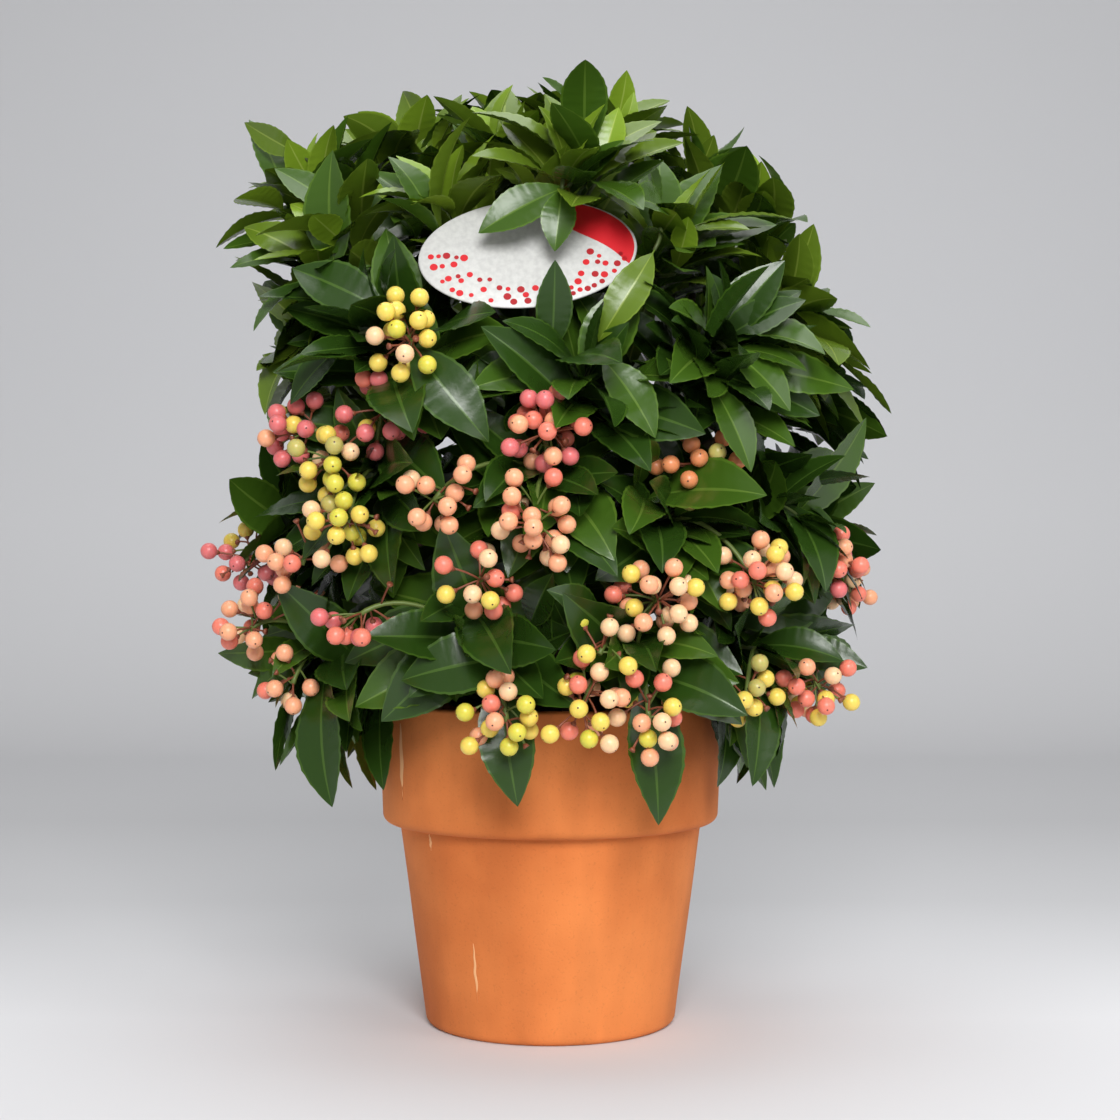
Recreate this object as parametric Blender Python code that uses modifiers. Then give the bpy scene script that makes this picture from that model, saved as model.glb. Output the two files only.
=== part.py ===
"""A potted ardisia at its real size, in metres, standing on the floor at the origin with +Z up.

A clay pot filled with soil carries five stems. The stems and their boughs end in leafy shoots,
each a solid that keeps to its own space, with umbels of berries on stalks below the leaves.
An oval plant label on a slim stake stands among the front shoots.
"""

import math
import random
from collections import namedtuple

import bmesh
import bpy
from mathutils import Matrix, Vector
from mathutils.bvhtree import BVHTree

SEED = 7
GAP = 0.0003

# Pot, turned about +Z
POT_HEIGHT = 0.139
RIM_RADIUS = 0.075
RIM_WALL = 0.0075
RIM_ROUND = 0.0012
BAND_HEIGHT = 0.048
BAND_TAPER = 0.0018
BAND_FOOT_ROUND = 0.004
NECK_RADIUS = 0.0658
FOOT_RADIUS = 0.0546
FOOT_ROUND = 0.0035
FLOOR_THICKNESS = 0.009
INNER_FOOT_RADIUS = 0.0465
POT_STEPS = 32
DRAIN_RADIUS = 0.0045
DRAIN_CIRCLE = 0.024
DRAIN_COUNT = 3

# Soil
SOIL_TOP = 0.124
SOIL_EDGE_DROP = 0.002
SOIL_FLAT_RADIUS = 0.058

# Plant label: an oval card leaning back on a slim stake
CARD_PLACE = Vector((-0.0085, -0.094, 0.320))
CARD_WIDTH = 0.086
CARD_HEIGHT = 0.050
CARD_THICKNESS = 0.0009
CARD_LEAN = 24.0
CARD_ROLL = 6.0
STAKE_RADIUS = 0.0014
STAKE_FOOT = Vector((-0.010, -0.048, 0.094))
STAKE_NECK = Vector((-0.010, -0.0865, 0.285))

# Leaves: length over width, thickness and arch as shares of the length
LEAF_WIDTH = 0.47
LEAF_THICKNESS = 0.018
LEAF_WIDEST = 0.52
LEAF_ARCH = 0.055
LEAF_SHORTEST = 0.62
LEAF_TRIES = 20
LEAF_SCATTER = 0.10
LATE_SCATTER = 0.30
LATE_OUTWARD = 1.2
LEAF_DROOP = 0.6
DROOP_FOOT_HEIGHT = 0.16
DROOP_TOP_HEIGHT = 0.36
UPPER_LIFT = 0.35
UPPER_SCATTER = 0.22
ROOT_SHARE = 0.12
GOLDEN_TURN = math.radians(137.5)
TIP_SPREAD = 30.0
FOOT_SPREAD = 108.0
TIP_LEAF_SHARE = 0.76
FOOT_LEAF_SHARE = 1.06
TIP_INSET = 0.001
FOOT_INSET = 0.004

# Side twigs
TWIG_LENGTH = 0.022
TWIG_RADIUS = 0.0011
TWIG_TAPER = 0.8
TWIG_LEAVES = 3
TWIG_BELOW_HEART = 0.028
TWIG_FORWARD = 0.75
TWIG_TURN = 40

# Berries, a little larger than life because the solids have fewer of them
BERRY_RADIUS = 0.0046
PEDICEL_LENGTH = 0.0098
PEDICEL_RADIUS = 0.0006
PEDICEL_SPREAD = (0.8, 1.35)
PEDUNCLE_RADIUS = 0.0012
PEDUNCLE_END_RADIUS = 0.0015
PEDUNCLE_RISE = 0.25
UMBEL_DEPTH = 0.0065
UMBEL_OUTWARD = 0.55
UMBEL_DROOP = 0.15
BERRY_TRIES = 12
BERRY_APART = 2.1
BERRY_OFF_STALK = 1.15
SHORTEST_PEDICEL = 1.5

# Crown
CROWN_TOP = 0.418
CROWN_FOOT = 0.094
CROWN_RADIUS = 0.152
SPACE_MARGIN = 0.0006
LIMB_CLEARANCE = 0.0006
SHOOT_LENGTH = 0.040
SHOOT_RADIUS = 0.0016
SHOOT_TAPER = 0.45
SHOOT_STEPS = 4
BOUGH_RADIUS = 0.0024
BOUGH_TIP_RADIUS = 0.0017
LIMB_RISE = 0.45
LIMB_LEAST_RISE = 0.020
LIMB_DIP = 0.012
LIMB_ABOVE_SOIL = 0.014
LIMB_BELOW_TIP = 0.012
LIMB_LIFT = 0.35

# Which way a shoot points: its slope low and high on the crown, and near the plant's axis
LOW_HEART = 0.150
HIGH_HEART = 0.385
LOW_SLOPE = -14.0
HIGH_SLOPE = 70.0
AXIS_REACH = 0.03
SPACE_CENTRE_AHEAD = 0.008

# Each stem: name, where it leaves the soil, its tip, its radius above the root flare and at its tip
Stem = namedtuple("Stem", "name foot tip radius tip_radius")
STEMS = (
    Stem("trunk", (0.003, 0.007), (-0.010, 0.020, 0.345), 0.0048, 0.0022),
    Stem("stem_left", (-0.024, -0.002), (-0.084, -0.012, 0.312), 0.0036, 0.0018),
    Stem("stem_right", (0.025, 0.001), (0.062, -0.002, 0.318), 0.0036, 0.0018),
    Stem("stem_front", (0.008, -0.024), (0.017, -0.050, 0.292), 0.0034, 0.0018),
    Stem("stem_back", (-0.004, 0.034), (-0.006, 0.074, 0.312), 0.0034, 0.0018),
)
FLARE_SHARE = 0.75
FLARE_HEIGHT = 0.006
STEM_STEPS = 7
STEM_FOOT_RISE = 0.40
STEM_FOOT_SPREAD = 0.45
STEM_TIP_RISE = 0.35
STEM_TIP_SPREAD = 0.08

# Each leafy shoot: name, its heart where the leaves gather, the limb that carries it, whether a
# bough reaches out to it, how many leaves it has, their length, and the turn of its first leaf
Shoot = namedtuple("Shoot", "name heart limb bough leaves leaf_length turn")
SHOOTS = (
    Shoot("shoot_top_centre", (-0.014, 0.022, 0.391), "trunk", False, 13, 0.048, 100),
    Shoot("shoot_top_right", (0.027, -0.012, 0.385), "trunk", False, 13, 0.049, 20),
    Shoot("shoot_top_left", (-0.064, 0.004, 0.377), "trunk", False, 13, 0.049, 150),
    Shoot("shoot_top_front", (-0.022, -0.042, 0.368), "trunk", False, 13, 0.048, 250),
    Shoot("shoot_over_label", (0.006, -0.090, 0.352), "stem_front", False, 13, 0.049, 200),
    Shoot("shoot_left_of_label", (-0.040, -0.076, 0.340), "trunk", True, 13, 0.049, 190),
    Shoot("shoot_right_of_label", (0.044, -0.073, 0.331), "stem_right", False, 13, 0.051, 300),
    Shoot("shoot_upper_left", (-0.100, -0.020, 0.357), "stem_left", False, 13, 0.049, 160),
    Shoot("shoot_left_front", (-0.083, -0.061, 0.330), "stem_left", False, 13, 0.051, 210),
    Shoot("shoot_upper_right", (0.062, 0.000, 0.364), "stem_right", False, 12, 0.047, 30),
    Shoot("shoot_right_upper", (0.086, -0.027, 0.343), "stem_right", False, 13, 0.050, 330),
    Shoot("shoot_back_top_right", (0.034, 0.062, 0.368), "stem_back", False, 13, 0.051, 60),
    Shoot("shoot_back_top_left", (-0.046, 0.062, 0.366), "stem_back", False, 13, 0.051, 120),
    Shoot("shoot_right_front", (0.098, -0.045, 0.304), "stem_right", True, 13, 0.056, 320),
    Shoot("shoot_front_right", (0.065, -0.089, 0.285), "stem_right", True, 13, 0.058, 290),
    Shoot("shoot_front_middle", (0.014, -0.103, 0.270), "stem_front", False, 13, 0.056, 270),
    Shoot("shoot_middle_left", (-0.058, -0.091, 0.288), "stem_left", True, 13, 0.060, 230),
    Shoot("shoot_left_side", (-0.104, -0.028, 0.298), "stem_left", False, 13, 0.057, 180),
    Shoot("shoot_far_right", (0.114, 0.008, 0.280), "stem_right", True, 13, 0.058, 0),
    Shoot("shoot_back_right", (0.080, 0.076, 0.300), "stem_back", True, 13, 0.057, 40),
    Shoot("shoot_back_middle", (-0.004, 0.108, 0.302), "stem_back", False, 13, 0.057, 90),
    Shoot("shoot_back_left", (-0.085, 0.072, 0.298), "stem_back", True, 13, 0.057, 140),
    Shoot("shoot_right_low", (0.093, -0.062, 0.222), "stem_right", True, 12, 0.056, 340),
    Shoot("shoot_centre_low", (-0.002, -0.096, 0.234), "stem_front", False, 12, 0.056, 260),
    Shoot("shoot_left_low", (-0.070, -0.080, 0.236), "stem_left", True, 12, 0.056, 220),
    Shoot("shoot_left_side_low", (-0.108, -0.012, 0.222), "stem_left", False, 12, 0.058, 190),
    Shoot("shoot_centre_right_low", (0.049, -0.086, 0.216), "stem_right", False, 12, 0.056, 280),
    Shoot("shoot_right_side_low", (0.112, 0.026, 0.214), "stem_right", True, 13, 0.058, 10),
    Shoot("shoot_back_low_right", (0.058, 0.094, 0.222), "stem_back", False, 13, 0.058, 70),
    Shoot("shoot_back_low", (-0.022, 0.112, 0.218), "stem_back", False, 13, 0.058, 100),
    Shoot("shoot_back_low_left", (-0.090, 0.066, 0.216), "stem_back", True, 13, 0.058, 150),
    Shoot("shoot_foot_left", (-0.092, -0.050, 0.165), "stem_left", False, 12, 0.060, 230),
    Shoot("shoot_foot_front_left", (-0.028, -0.092, 0.168), "stem_front", False, 12, 0.060, 250),
    Shoot("shoot_foot_front_right", (0.034, -0.094, 0.166), "stem_front", False, 12, 0.060, 290),
    Shoot("shoot_foot_right", (0.084, -0.058, 0.164), "stem_right", False, 12, 0.060, 320),
    Shoot("shoot_foot_back_right", (0.088, 0.052, 0.162), "stem_right", False, 13, 0.060, 30),
    Shoot("shoot_foot_back", (0.004, 0.100, 0.164), "stem_back", False, 13, 0.060, 90),
    Shoot("shoot_foot_back_left", (-0.084, 0.056, 0.164), "stem_left", False, 13, 0.060, 150),
)
STEM_TIP_SHOOTS = {
    "shoot_top_centre": "trunk",
    "shoot_upper_left": "stem_left",
    "shoot_upper_right": "stem_right",
    "shoot_over_label": "stem_front",
    "shoot_back_top_left": "stem_back",
}

# Each umbel: where its stalk ends, and how many berries its solid has
Umbel = namedtuple("Umbel", "place berries")
UMBELS = (
    Umbel((-0.052, -0.118, 0.280), 5),
    Umbel((-0.064, -0.098, 0.258), 4),
    Umbel((-0.100, -0.078, 0.250), 4),
    Umbel((-0.085, -0.100, 0.238), 4),
    Umbel((-0.078, -0.104, 0.214), 4),
    Umbel((-0.098, -0.086, 0.198), 3),
    Umbel((-0.122, -0.062, 0.172), 4),
    Umbel((-0.104, -0.068, 0.150), 3),
    Umbel((-0.074, -0.102, 0.178), 3),
    Umbel((0.000, -0.118, 0.248), 5),
    Umbel((-0.044, -0.116, 0.222), 4),
    Umbel((-0.006, -0.122, 0.212), 5),
    Umbel((-0.026, -0.118, 0.192), 4),
    Umbel((0.062, -0.092, 0.238), 4),
    Umbel((0.112, -0.060, 0.200), 4),
    Umbel((0.080, -0.100, 0.190), 6),
    Umbel((0.042, -0.114, 0.184), 5),
    Umbel((0.110, -0.062, 0.148), 5),
    Umbel((-0.016, -0.114, 0.138), 4),
    Umbel((0.012, -0.118, 0.142), 4),
    Umbel((0.038, -0.114, 0.138), 4),
    Umbel((0.078, -0.082, 0.144), 3),
)
BACK_UMBEL_SHOOTS = (
    "shoot_back_right",
    "shoot_back_left",
    "shoot_back_low_right",
    "shoot_back_low",
    "shoot_back_low_left",
    "shoot_right_side_low",
    "shoot_left_side_low",
    "shoot_foot_back_right",
    "shoot_foot_back",
    "shoot_foot_back_left",
)
BACK_UMBEL_BERRIES = 4
BACK_UMBEL_REACH = 0.024
BACK_UMBEL_DROP = 0.022


def clear_scene():
    for obj in list(bpy.data.objects):
        bpy.data.objects.remove(obj)


def make_collection(name):
    collection = bpy.data.collections.new(name)
    bpy.context.scene.collection.children.link(collection)
    return collection


def make_material(name, colour, roughness):
    material = bpy.data.materials.new(name)
    material.use_nodes = True
    shader = material.node_tree.nodes["Principled BSDF"]
    shader.inputs["Base Color"].default_value = (*colour, 1.0)
    shader.inputs["Roughness"].default_value = roughness
    shader.inputs["Metallic"].default_value = 0.0
    material.diffuse_color = (*colour, 1.0)
    return material


def place_mesh(name, mesh, collection, material):
    obj = bpy.data.objects.new(name, mesh)
    if material:
        mesh.materials.append(material)
    collection.objects.link(obj)
    return obj


def arc(centre, radius, start, end, steps):
    """Points (radius, height) on a round corner of a turned profile, angles in degrees."""
    points = []
    for step in range(steps + 1):
        angle = math.radians(start + (end - start) * step / steps)
        points.append((centre[0] + radius * math.cos(angle), centre[1] + radius * math.sin(angle)))
    return points


def turned(name, profile, steps, collection, material):
    """A solid of revolution about +Z from (radius, height) points that run down its outer side."""
    mesh = bpy.data.meshes.new(name)
    edges = [(index, index + 1) for index in range(len(profile) - 1)]
    mesh.from_pydata([(radius, 0.0, height) for radius, height in profile], edges, [])
    obj = place_mesh(name, mesh, collection, material)
    screw = obj.modifiers.new("Turn", "SCREW")
    screw.steps = steps
    screw.render_steps = steps
    screw.use_merge_vertices = True
    screw.merge_threshold = 0.00001
    screw.use_smooth_shade = True
    return obj


def inner_radius(height):
    """The pot's inner radius at a height above its floor."""
    share = (height - FLOOR_THICKNESS) / (POT_HEIGHT - FLOOR_THICKNESS)
    return INNER_FOOT_RADIUS + share * (RIM_RADIUS - RIM_WALL - INNER_FOOT_RADIUS)


def pot_profile():
    band_foot = POT_HEIGHT - BAND_HEIGHT
    band_radius = RIM_RADIUS - BAND_TAPER
    profile = [(0.0, FLOOR_THICKNESS), (INNER_FOOT_RADIUS, FLOOR_THICKNESS)]
    profile += [(inner_radius(POT_HEIGHT), POT_HEIGHT - RIM_ROUND)]
    profile += [(inner_radius(POT_HEIGHT) + RIM_ROUND, POT_HEIGHT)]
    profile += arc((RIM_RADIUS - RIM_ROUND, POT_HEIGHT - RIM_ROUND), RIM_ROUND, 90, 0, 1)
    profile += arc((band_radius - BAND_FOOT_ROUND, band_foot), BAND_FOOT_ROUND, 0, -90, 2)
    profile += [(NECK_RADIUS, band_foot - BAND_FOOT_ROUND)]
    profile += arc((FOOT_RADIUS - FOOT_ROUND, FOOT_ROUND), FOOT_ROUND, 0, -90, 2)
    profile += [(0.0, 0.0)]
    return profile


def make_cylinder(name, foot, top, radius, collection):
    """A cutter between two points."""
    axis = top - foot
    bm = bmesh.new()
    turn = axis.to_track_quat("Z", "Y").to_matrix().to_4x4()
    bmesh.ops.create_cone(
        bm,
        cap_ends=True,
        segments=10,
        radius1=radius,
        radius2=radius,
        depth=axis.length,
        matrix=Matrix.Translation((foot + top) / 2) @ turn,
    )
    mesh = bpy.data.meshes.new(name)
    bm.to_mesh(mesh)
    bm.free()
    obj = place_mesh(name, mesh, collection, None)
    obj.hide_render = True
    obj.display_type = "WIRE"
    return obj


def cut(obj, cutter):
    boolean = obj.modifiers.new(cutter.name, "BOOLEAN")
    boolean.operation = "DIFFERENCE"
    boolean.solver = "EXACT"
    boolean.object = cutter


def make_pot(collection, cutters, material):
    pot = turned("pot", pot_profile(), POT_STEPS, collection, material)
    for index in range(DRAIN_COUNT):
        angle = math.tau * (index + 0.25) / DRAIN_COUNT
        centre = Vector((DRAIN_CIRCLE * math.cos(angle), DRAIN_CIRCLE * math.sin(angle), 0.0))
        top = centre + Vector((0.0, 0.0, 2 * FLOOR_THICKNESS))
        foot = centre - Vector((0.0, 0.0, FLOOR_THICKNESS))
        cut(pot, make_cylinder(f"drain_cutter_{index + 1}", foot, top, DRAIN_RADIUS, cutters))
    return pot


def make_soil(collection, cutters, material):
    """The soil fills the pot to below its rim, with a bore for the label's stake."""
    edge_height = SOIL_TOP - SOIL_EDGE_DROP
    floor = FLOOR_THICKNESS + GAP
    profile = [
        (0.0, SOIL_TOP),
        (SOIL_FLAT_RADIUS, SOIL_TOP),
        (inner_radius(edge_height) - GAP, edge_height),
        (inner_radius(floor) - GAP, floor),
        (0.0, floor),
    ]
    soil = turned("soil", profile, POT_STEPS, collection, material)
    slant = (STAKE_NECK - STAKE_FOOT).normalized()
    above = STAKE_FOOT + slant * (SOIL_TOP - STAKE_FOOT.z + 0.01) / slant.z
    cut(soil, make_cylinder("stake_bore", STAKE_FOOT - slant * GAP, above, STAKE_RADIUS + GAP, cutters))
    return soil


def cubic(start, first, second, end, count):
    """Points along a cubic curve with these four control points."""
    points = []
    for index in range(count + 1):
        t = index / count
        u = 1 - t
        points.append(u**3 * start + 3 * u * u * t * first + 3 * u * t * t * second + t**3 * end)
    return points


def path_length(points):
    return sum((b - a).length for a, b in zip(points, points[1:]))


def point_along(points, distance):
    """The point and the direction at a distance along a path."""
    for a, b in zip(points, points[1:]):
        step = (b - a).length
        if distance <= step:
            return a.lerp(b, distance / step), (b - a).normalized()
        distance -= step
    return points[-1], (points[-1] - points[-2]).normalized()


def part_of_path(points, start, end, count):
    """Evenly spaced points on the part of a path between two distances along it."""
    return [point_along(points, start + (end - start) * i / count)[0] for i in range(count + 1)]


def tube(name, points, radii, collection, material):
    """A round limb that tapers through these radii, as a curve with filled caps."""
    curve = bpy.data.curves.new(name, "CURVE")
    curve.dimensions = "3D"
    curve.bevel_depth = max(radii)
    curve.bevel_resolution = 1
    curve.use_fill_caps = True
    spline = curve.splines.new("POLY")
    spline.points.add(len(points) - 1)
    for place, point, radius in zip(spline.points, points, radii):
        place.co = (*point, 1.0)
        place.radius = radius / max(radii)
    obj = bpy.data.objects.new(name, curve)
    curve.materials.append(material)
    collection.objects.link(obj)
    return obj


def frame_along(points):
    """A side and an up vector for each point of a path, turned as little as possible."""
    frames = []
    side = None
    for index in range(len(points)):
        ahead = points[min(index + 1, len(points) - 1)] - points[max(index - 1, 0)]
        ahead.normalize()
        if side is None:
            side = ahead.orthogonal().normalized()
        side = (side - ahead * side.dot(ahead)).normalized()
        frames.append((side, ahead.cross(side)))
    return frames


def sweep(points, radii, sides):
    """Vertices and faces of a closed many-sided tube along a path, for twigs and for guards."""
    vertices = []
    faces = []
    for point, radius, (side, up) in zip(points, radii, frame_along(points)):
        for corner in range(sides):
            angle = math.tau * corner / sides
            vertices.append(point + radius * (side * math.cos(angle) + up * math.sin(angle)))
    for ring in range(len(points) - 1):
        for corner in range(sides):
            a = ring * sides + corner
            b = ring * sides + (corner + 1) % sides
            faces.append((a, b, b + sides, a + sides))
    faces.append(tuple(reversed(range(sides))))
    faces.append(tuple(range((len(points) - 1) * sides, len(points) * sides)))
    return vertices, faces


def of_bmesh(bm):
    bm.verts.ensure_lookup_table()
    vertices = [vertex.co.copy() for vertex in bm.verts]
    faces = [tuple(vertex.index for vertex in face.verts) for face in bm.faces]
    bm.free()
    return vertices, faces


def leaf(root, tip, upper, width):
    """A leaf of six faces: a very low pyramid from root to tip, arched towards its upper side."""
    length = (tip - root).length
    along = (tip - root) / length
    side = along.cross(upper).normalized()
    face = side.cross(along)
    bm = bmesh.new()
    bmesh.ops.create_cone(bm, cap_ends=True, segments=4, radius1=1.0, radius2=0.0, depth=1.0)
    bm.verts.ensure_lookup_table()
    crosswise = [vertex for vertex in bm.verts if vertex.co.z < 0 and abs(vertex.co.x) > 0.5]
    bmesh.ops.connect_verts(bm, verts=crosswise)
    for vertex in bm.verts:
        x, y, z = vertex.co
        ridge = z > 0
        end = abs(y) > 0.5
        share = (y + 1) / 2 if end else LEAF_WIDEST
        rise = 0.0 if end else LEAF_ARCH * length
        if ridge:
            rise += LEAF_THICKNESS * length
        vertex.co = root + along * share * length + side * x * width / 2 + face * rise
    return of_bmesh(bm)


def berry(start, centre, radius):
    """A berry and its pedicel in one: a ball whose nearest face is drawn out to a point."""
    bm = bmesh.new()
    way = (centre - start).normalized()
    bmesh.ops.create_icosphere(bm, subdivisions=1, radius=radius)
    bm.faces.ensure_lookup_table()
    lowest = min(bm.faces, key=lambda face: face.calc_center_median().z)
    turn = lowest.calc_center_median().normalized().rotation_difference(-way)
    bmesh.ops.rotate(bm, cent=(0, 0, 0), matrix=turn.to_matrix(), verts=bm.verts)
    bmesh.ops.translate(bm, vec=centre, verts=bm.verts)
    neck = bmesh.ops.extrude_discrete_faces(bm, faces=[lowest])["faces"][0]
    middle = neck.calc_center_median()
    for vertex in neck.verts:
        vertex.co = middle + (vertex.co - middle).normalized() * PEDICEL_RADIUS
    point = bmesh.ops.poke(bm, faces=[neck])["verts"][0]
    point.co = start
    return of_bmesh(bm)


def tree_of(pieces):
    """One search tree over all these closed shapes."""
    vertices = []
    faces = []
    for points, polygons in pieces:
        start = len(vertices)
        vertices += points
        faces += [tuple(start + index for index in polygon) for polygon in polygons]
    return BVHTree.FromPolygons(vertices, faces, epsilon=0.0)


def heading_of(heart):
    """The way a shoot points: outwards low on the crown and upwards at its top."""
    outward = Vector((heart.x, heart.y, 0.0))
    rise = min(max((heart.z - LOW_HEART) / (HIGH_HEART - LOW_HEART), 0.0), 1.0)
    reach = outward.length
    angle = math.radians(LOW_SLOPE + (HIGH_SLOPE - LOW_SLOPE) * rise)
    if reach < AXIS_REACH:
        angle = math.radians(90 - (90 - HIGH_SLOPE) * reach / AXIS_REACH)
    outward.normalize()
    return outward * math.cos(angle) + Vector((0.0, 0.0, math.sin(angle)))


def stem_path(stem):
    foot = Vector((*stem.foot, SOIL_TOP + GAP))
    tip = Vector(stem.tip)
    rise = tip.z - foot.z
    spread = Vector((tip.x - foot.x, tip.y - foot.y, 0.0))
    first = foot + Vector((0.0, 0.0, STEM_FOOT_RISE * rise)) + spread * STEM_FOOT_SPREAD
    second = tip - Vector((0.0, 0.0, STEM_TIP_RISE * rise)) - spread * STEM_TIP_SPREAD
    return cubic(foot, first, second, tip, STEM_STEPS)


def stem_radius(stem, height):
    """A stem's radius at a height: a true taper, wider at its root flare."""
    above = height - SOIL_TOP - GAP
    share = above / (stem.tip[2] - SOIL_TOP - GAP)
    flare = 1 + FLARE_SHARE * math.exp(-above / FLARE_HEIGHT)
    return flare * (stem.radius + (stem.tip_radius - stem.radius) * share)


def at_height(points, height):
    """The point of a rising path at a height, and the way it runs there."""
    for a, b in zip(points, points[1:]):
        if height <= b.z:
            return a.lerp(b, (height - a.z) / (b.z - a.z)), (b - a).normalized()
    return points[-1], (points[-1] - points[-2]).normalized()


def with_flare_points(points):
    """Stands a stem upright on its flat cut, with points where the root flare narrows."""
    near = [points[0] + Vector((0.0, 0.0, FLARE_HEIGHT * share)) for share in (0.5, 1.2)]
    return [points[0], *near, *points[1:]]


def limb_path(shoot, stem, points):
    """The line from the limb that carries a shoot to the shoot's heart."""
    heart = Vector(shoot.heart)
    ahead = heading_of(heart)
    if STEM_TIP_SHOOTS.get(shoot.name) == stem.name:
        start, leaving = point_along(points, path_length(points))
        start = start + leaving * GAP
        reach = (heart - start).length
        return cubic(start, start + leaving * reach / 3, heart - ahead * reach / 3, heart, 8)
    spread = Vector((heart.x - stem.tip[0], heart.y - stem.tip[1], 0.0)).length
    wanted = heart.z - max(LIMB_LEAST_RISE, LIMB_RISE * spread) - LIMB_DIP
    wanted = min(max(wanted, SOIL_TOP + LIMB_ABOVE_SOIL), stem.tip[2] - LIMB_BELOW_TIP)
    axis, upward = at_height(points, wanted)
    radius = stem_radius(stem, axis.z)
    towards = Vector((heart.x - axis.x, heart.y - axis.y, 0.0)).normalized()
    leaving = (towards + Vector((0.0, 0.0, LIMB_LIFT))).normalized()
    end_radius = BOUGH_RADIUS if shoot.bough else SHOOT_RADIUS
    slope = abs(leaving.dot(upward))
    start = axis + leaving * (radius + GAP + end_radius * slope) / math.sqrt(1 - slope * slope)
    reach = (heart - start).length
    return cubic(start, start + leaving * reach / 3, heart - ahead * reach / 3, heart, 10)


def square_up(points, leaving, radius):
    """Moves a path's first point on by as much as its slanted end would reach back over the gap."""
    first = (points[1] - points[0]).normalized()
    slant = first.cross(leaving).length
    return [points[0] + leaving * radius * slant, *points[1:]]


class Crown:
    """The limbs, and the space that each shoot keeps to."""

    def __init__(self):
        self.stems = {}
        self.paths = {}
        self.boughs = {}
        self.centres = {}
        for stem in STEMS:
            points = with_flare_points(stem_path(stem))
            self.stems[stem.name] = (points, [stem_radius(stem, point.z) for point in points])
        for shoot in SHOOTS:
            stem = next(item for item in STEMS if item.name == shoot.limb)
            path = limb_path(shoot, stem, self.stems[stem.name][0])
            whole = path_length(path)
            leaving = (path[1] - path[0]).normalized()
            if shoot.bough:
                cut_at = whole - SHOOT_LENGTH
                bough = part_of_path(path, 0.0, cut_at - GAP / 2, SHOOT_STEPS)
                self.boughs[shoot.name] = square_up(bough, leaving, BOUGH_RADIUS)
                leaving = (bough[-1] - bough[-2]).normalized()
                path = part_of_path(path, cut_at + GAP / 2, whole, SHOOT_STEPS - 1)
            else:
                path = part_of_path(path, 0.0, whole, SHOOT_STEPS)
            self.paths[shoot.name] = square_up(path, leaving, SHOOT_RADIUS)
            heart = Vector(shoot.heart)
            self.centres[shoot.name] = heart + heading_of(heart) * SPACE_CENTRE_AHEAD

    def planes(self, name):
        """The planes half way to every other shoot: normals, and how far out each lies."""
        own = self.centres[name]
        planes = []
        for other, centre in self.centres.items():
            if other != name:
                normal = (centre - own).normalized()
                planes.append((normal, normal.dot((centre + own) / 2) - SPACE_MARGIN))
        return planes

    def guards(self, name):
        """A search tree over all that this shoot's leaves must not touch, swollen by the clearance."""
        pieces = [guard(points, radii, 8) for points, radii in self.stems.values()]
        for points in self.boughs.values():
            pieces.append(guard(points, bough_radii(points), 6))
        for other, points in self.paths.items():
            if other != name:
                pieces.append(guard(points, shoot_radii(points), 5))
        pieces += fixed_guards()
        return tree_of(pieces)


def guard(points, radii, sides):
    swell = 1 / math.cos(math.pi / sides)
    return sweep(points, [(radius + LIMB_CLEARANCE) * swell for radius in radii], sides)


def bough_radii(points):
    last = len(points) - 1
    return [BOUGH_RADIUS + (BOUGH_TIP_RADIUS - BOUGH_RADIUS) * i / last for i in range(last + 1)]


def shoot_radii(points):
    last = len(points) - 1
    return [SHOOT_RADIUS * (1 - SHOOT_TAPER * i / last) for i in range(last + 1)]


def turned_guard(profile, steps):
    """The surface of a turned profile, for the search tree."""
    vertices = []
    faces = []
    for step in range(steps):
        angle = math.tau * step / steps
        vertices += [Vector((r * math.cos(angle), r * math.sin(angle), z)) for r, z in profile]
    count = len(profile)
    for step in range(steps):
        for index in range(count - 1):
            a = step * count + index
            b = (step + 1) % steps * count + index
            faces.append((a, a + 1, b + 1, b))
    return vertices, faces


def card_matrix():
    turn = Matrix.Rotation(math.radians(90 - CARD_LEAN), 4, "X")
    roll = Matrix.Rotation(math.radians(CARD_ROLL), 4, "Z")
    return Matrix.Translation(CARD_PLACE) @ turn @ roll


def card_guard():
    """A slab round the label's card."""
    half = CARD_THICKNESS / 2 + LIMB_CLEARANCE
    vertices = []
    sides = 24
    for height in (-half, half):
        for corner in range(sides):
            angle = math.tau * corner / sides
            across = (CARD_WIDTH / 2 + LIMB_CLEARANCE) * math.cos(angle)
            up = (CARD_HEIGHT / 2 + LIMB_CLEARANCE) * math.sin(angle)
            vertices.append(card_matrix() @ Vector((across, up, height)))
    faces = [tuple(range(sides)), tuple(range(sides, 2 * sides))]
    for corner in range(sides):
        after = (corner + 1) % sides
        faces.append((corner, after, after + sides, corner + sides))
    return vertices, faces


def fixed_guards():
    """The pot, the soil and the label, a little swollen."""
    swell = LIMB_CLEARANCE
    inner = inner_radius(POT_HEIGHT) - swell
    outer = RIM_RADIUS + swell
    pot = [
        (0.0, SOIL_TOP + swell),
        (inner_radius(SOIL_TOP) - swell, SOIL_TOP + swell),
        (inner, POT_HEIGHT + swell),
        (outer, POT_HEIGHT + swell),
        (outer, POT_HEIGHT - BAND_HEIGHT - BAND_FOOT_ROUND - swell),
        (NECK_RADIUS + swell, POT_HEIGHT - BAND_HEIGHT - BAND_FOOT_ROUND - swell),
        (FOOT_RADIUS + swell, 0.0),
    ]
    stake = stake_path()
    return [turned_guard(pot, POT_STEPS), card_guard(), guard(stake, [STAKE_RADIUS] * len(stake), 8)]


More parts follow.
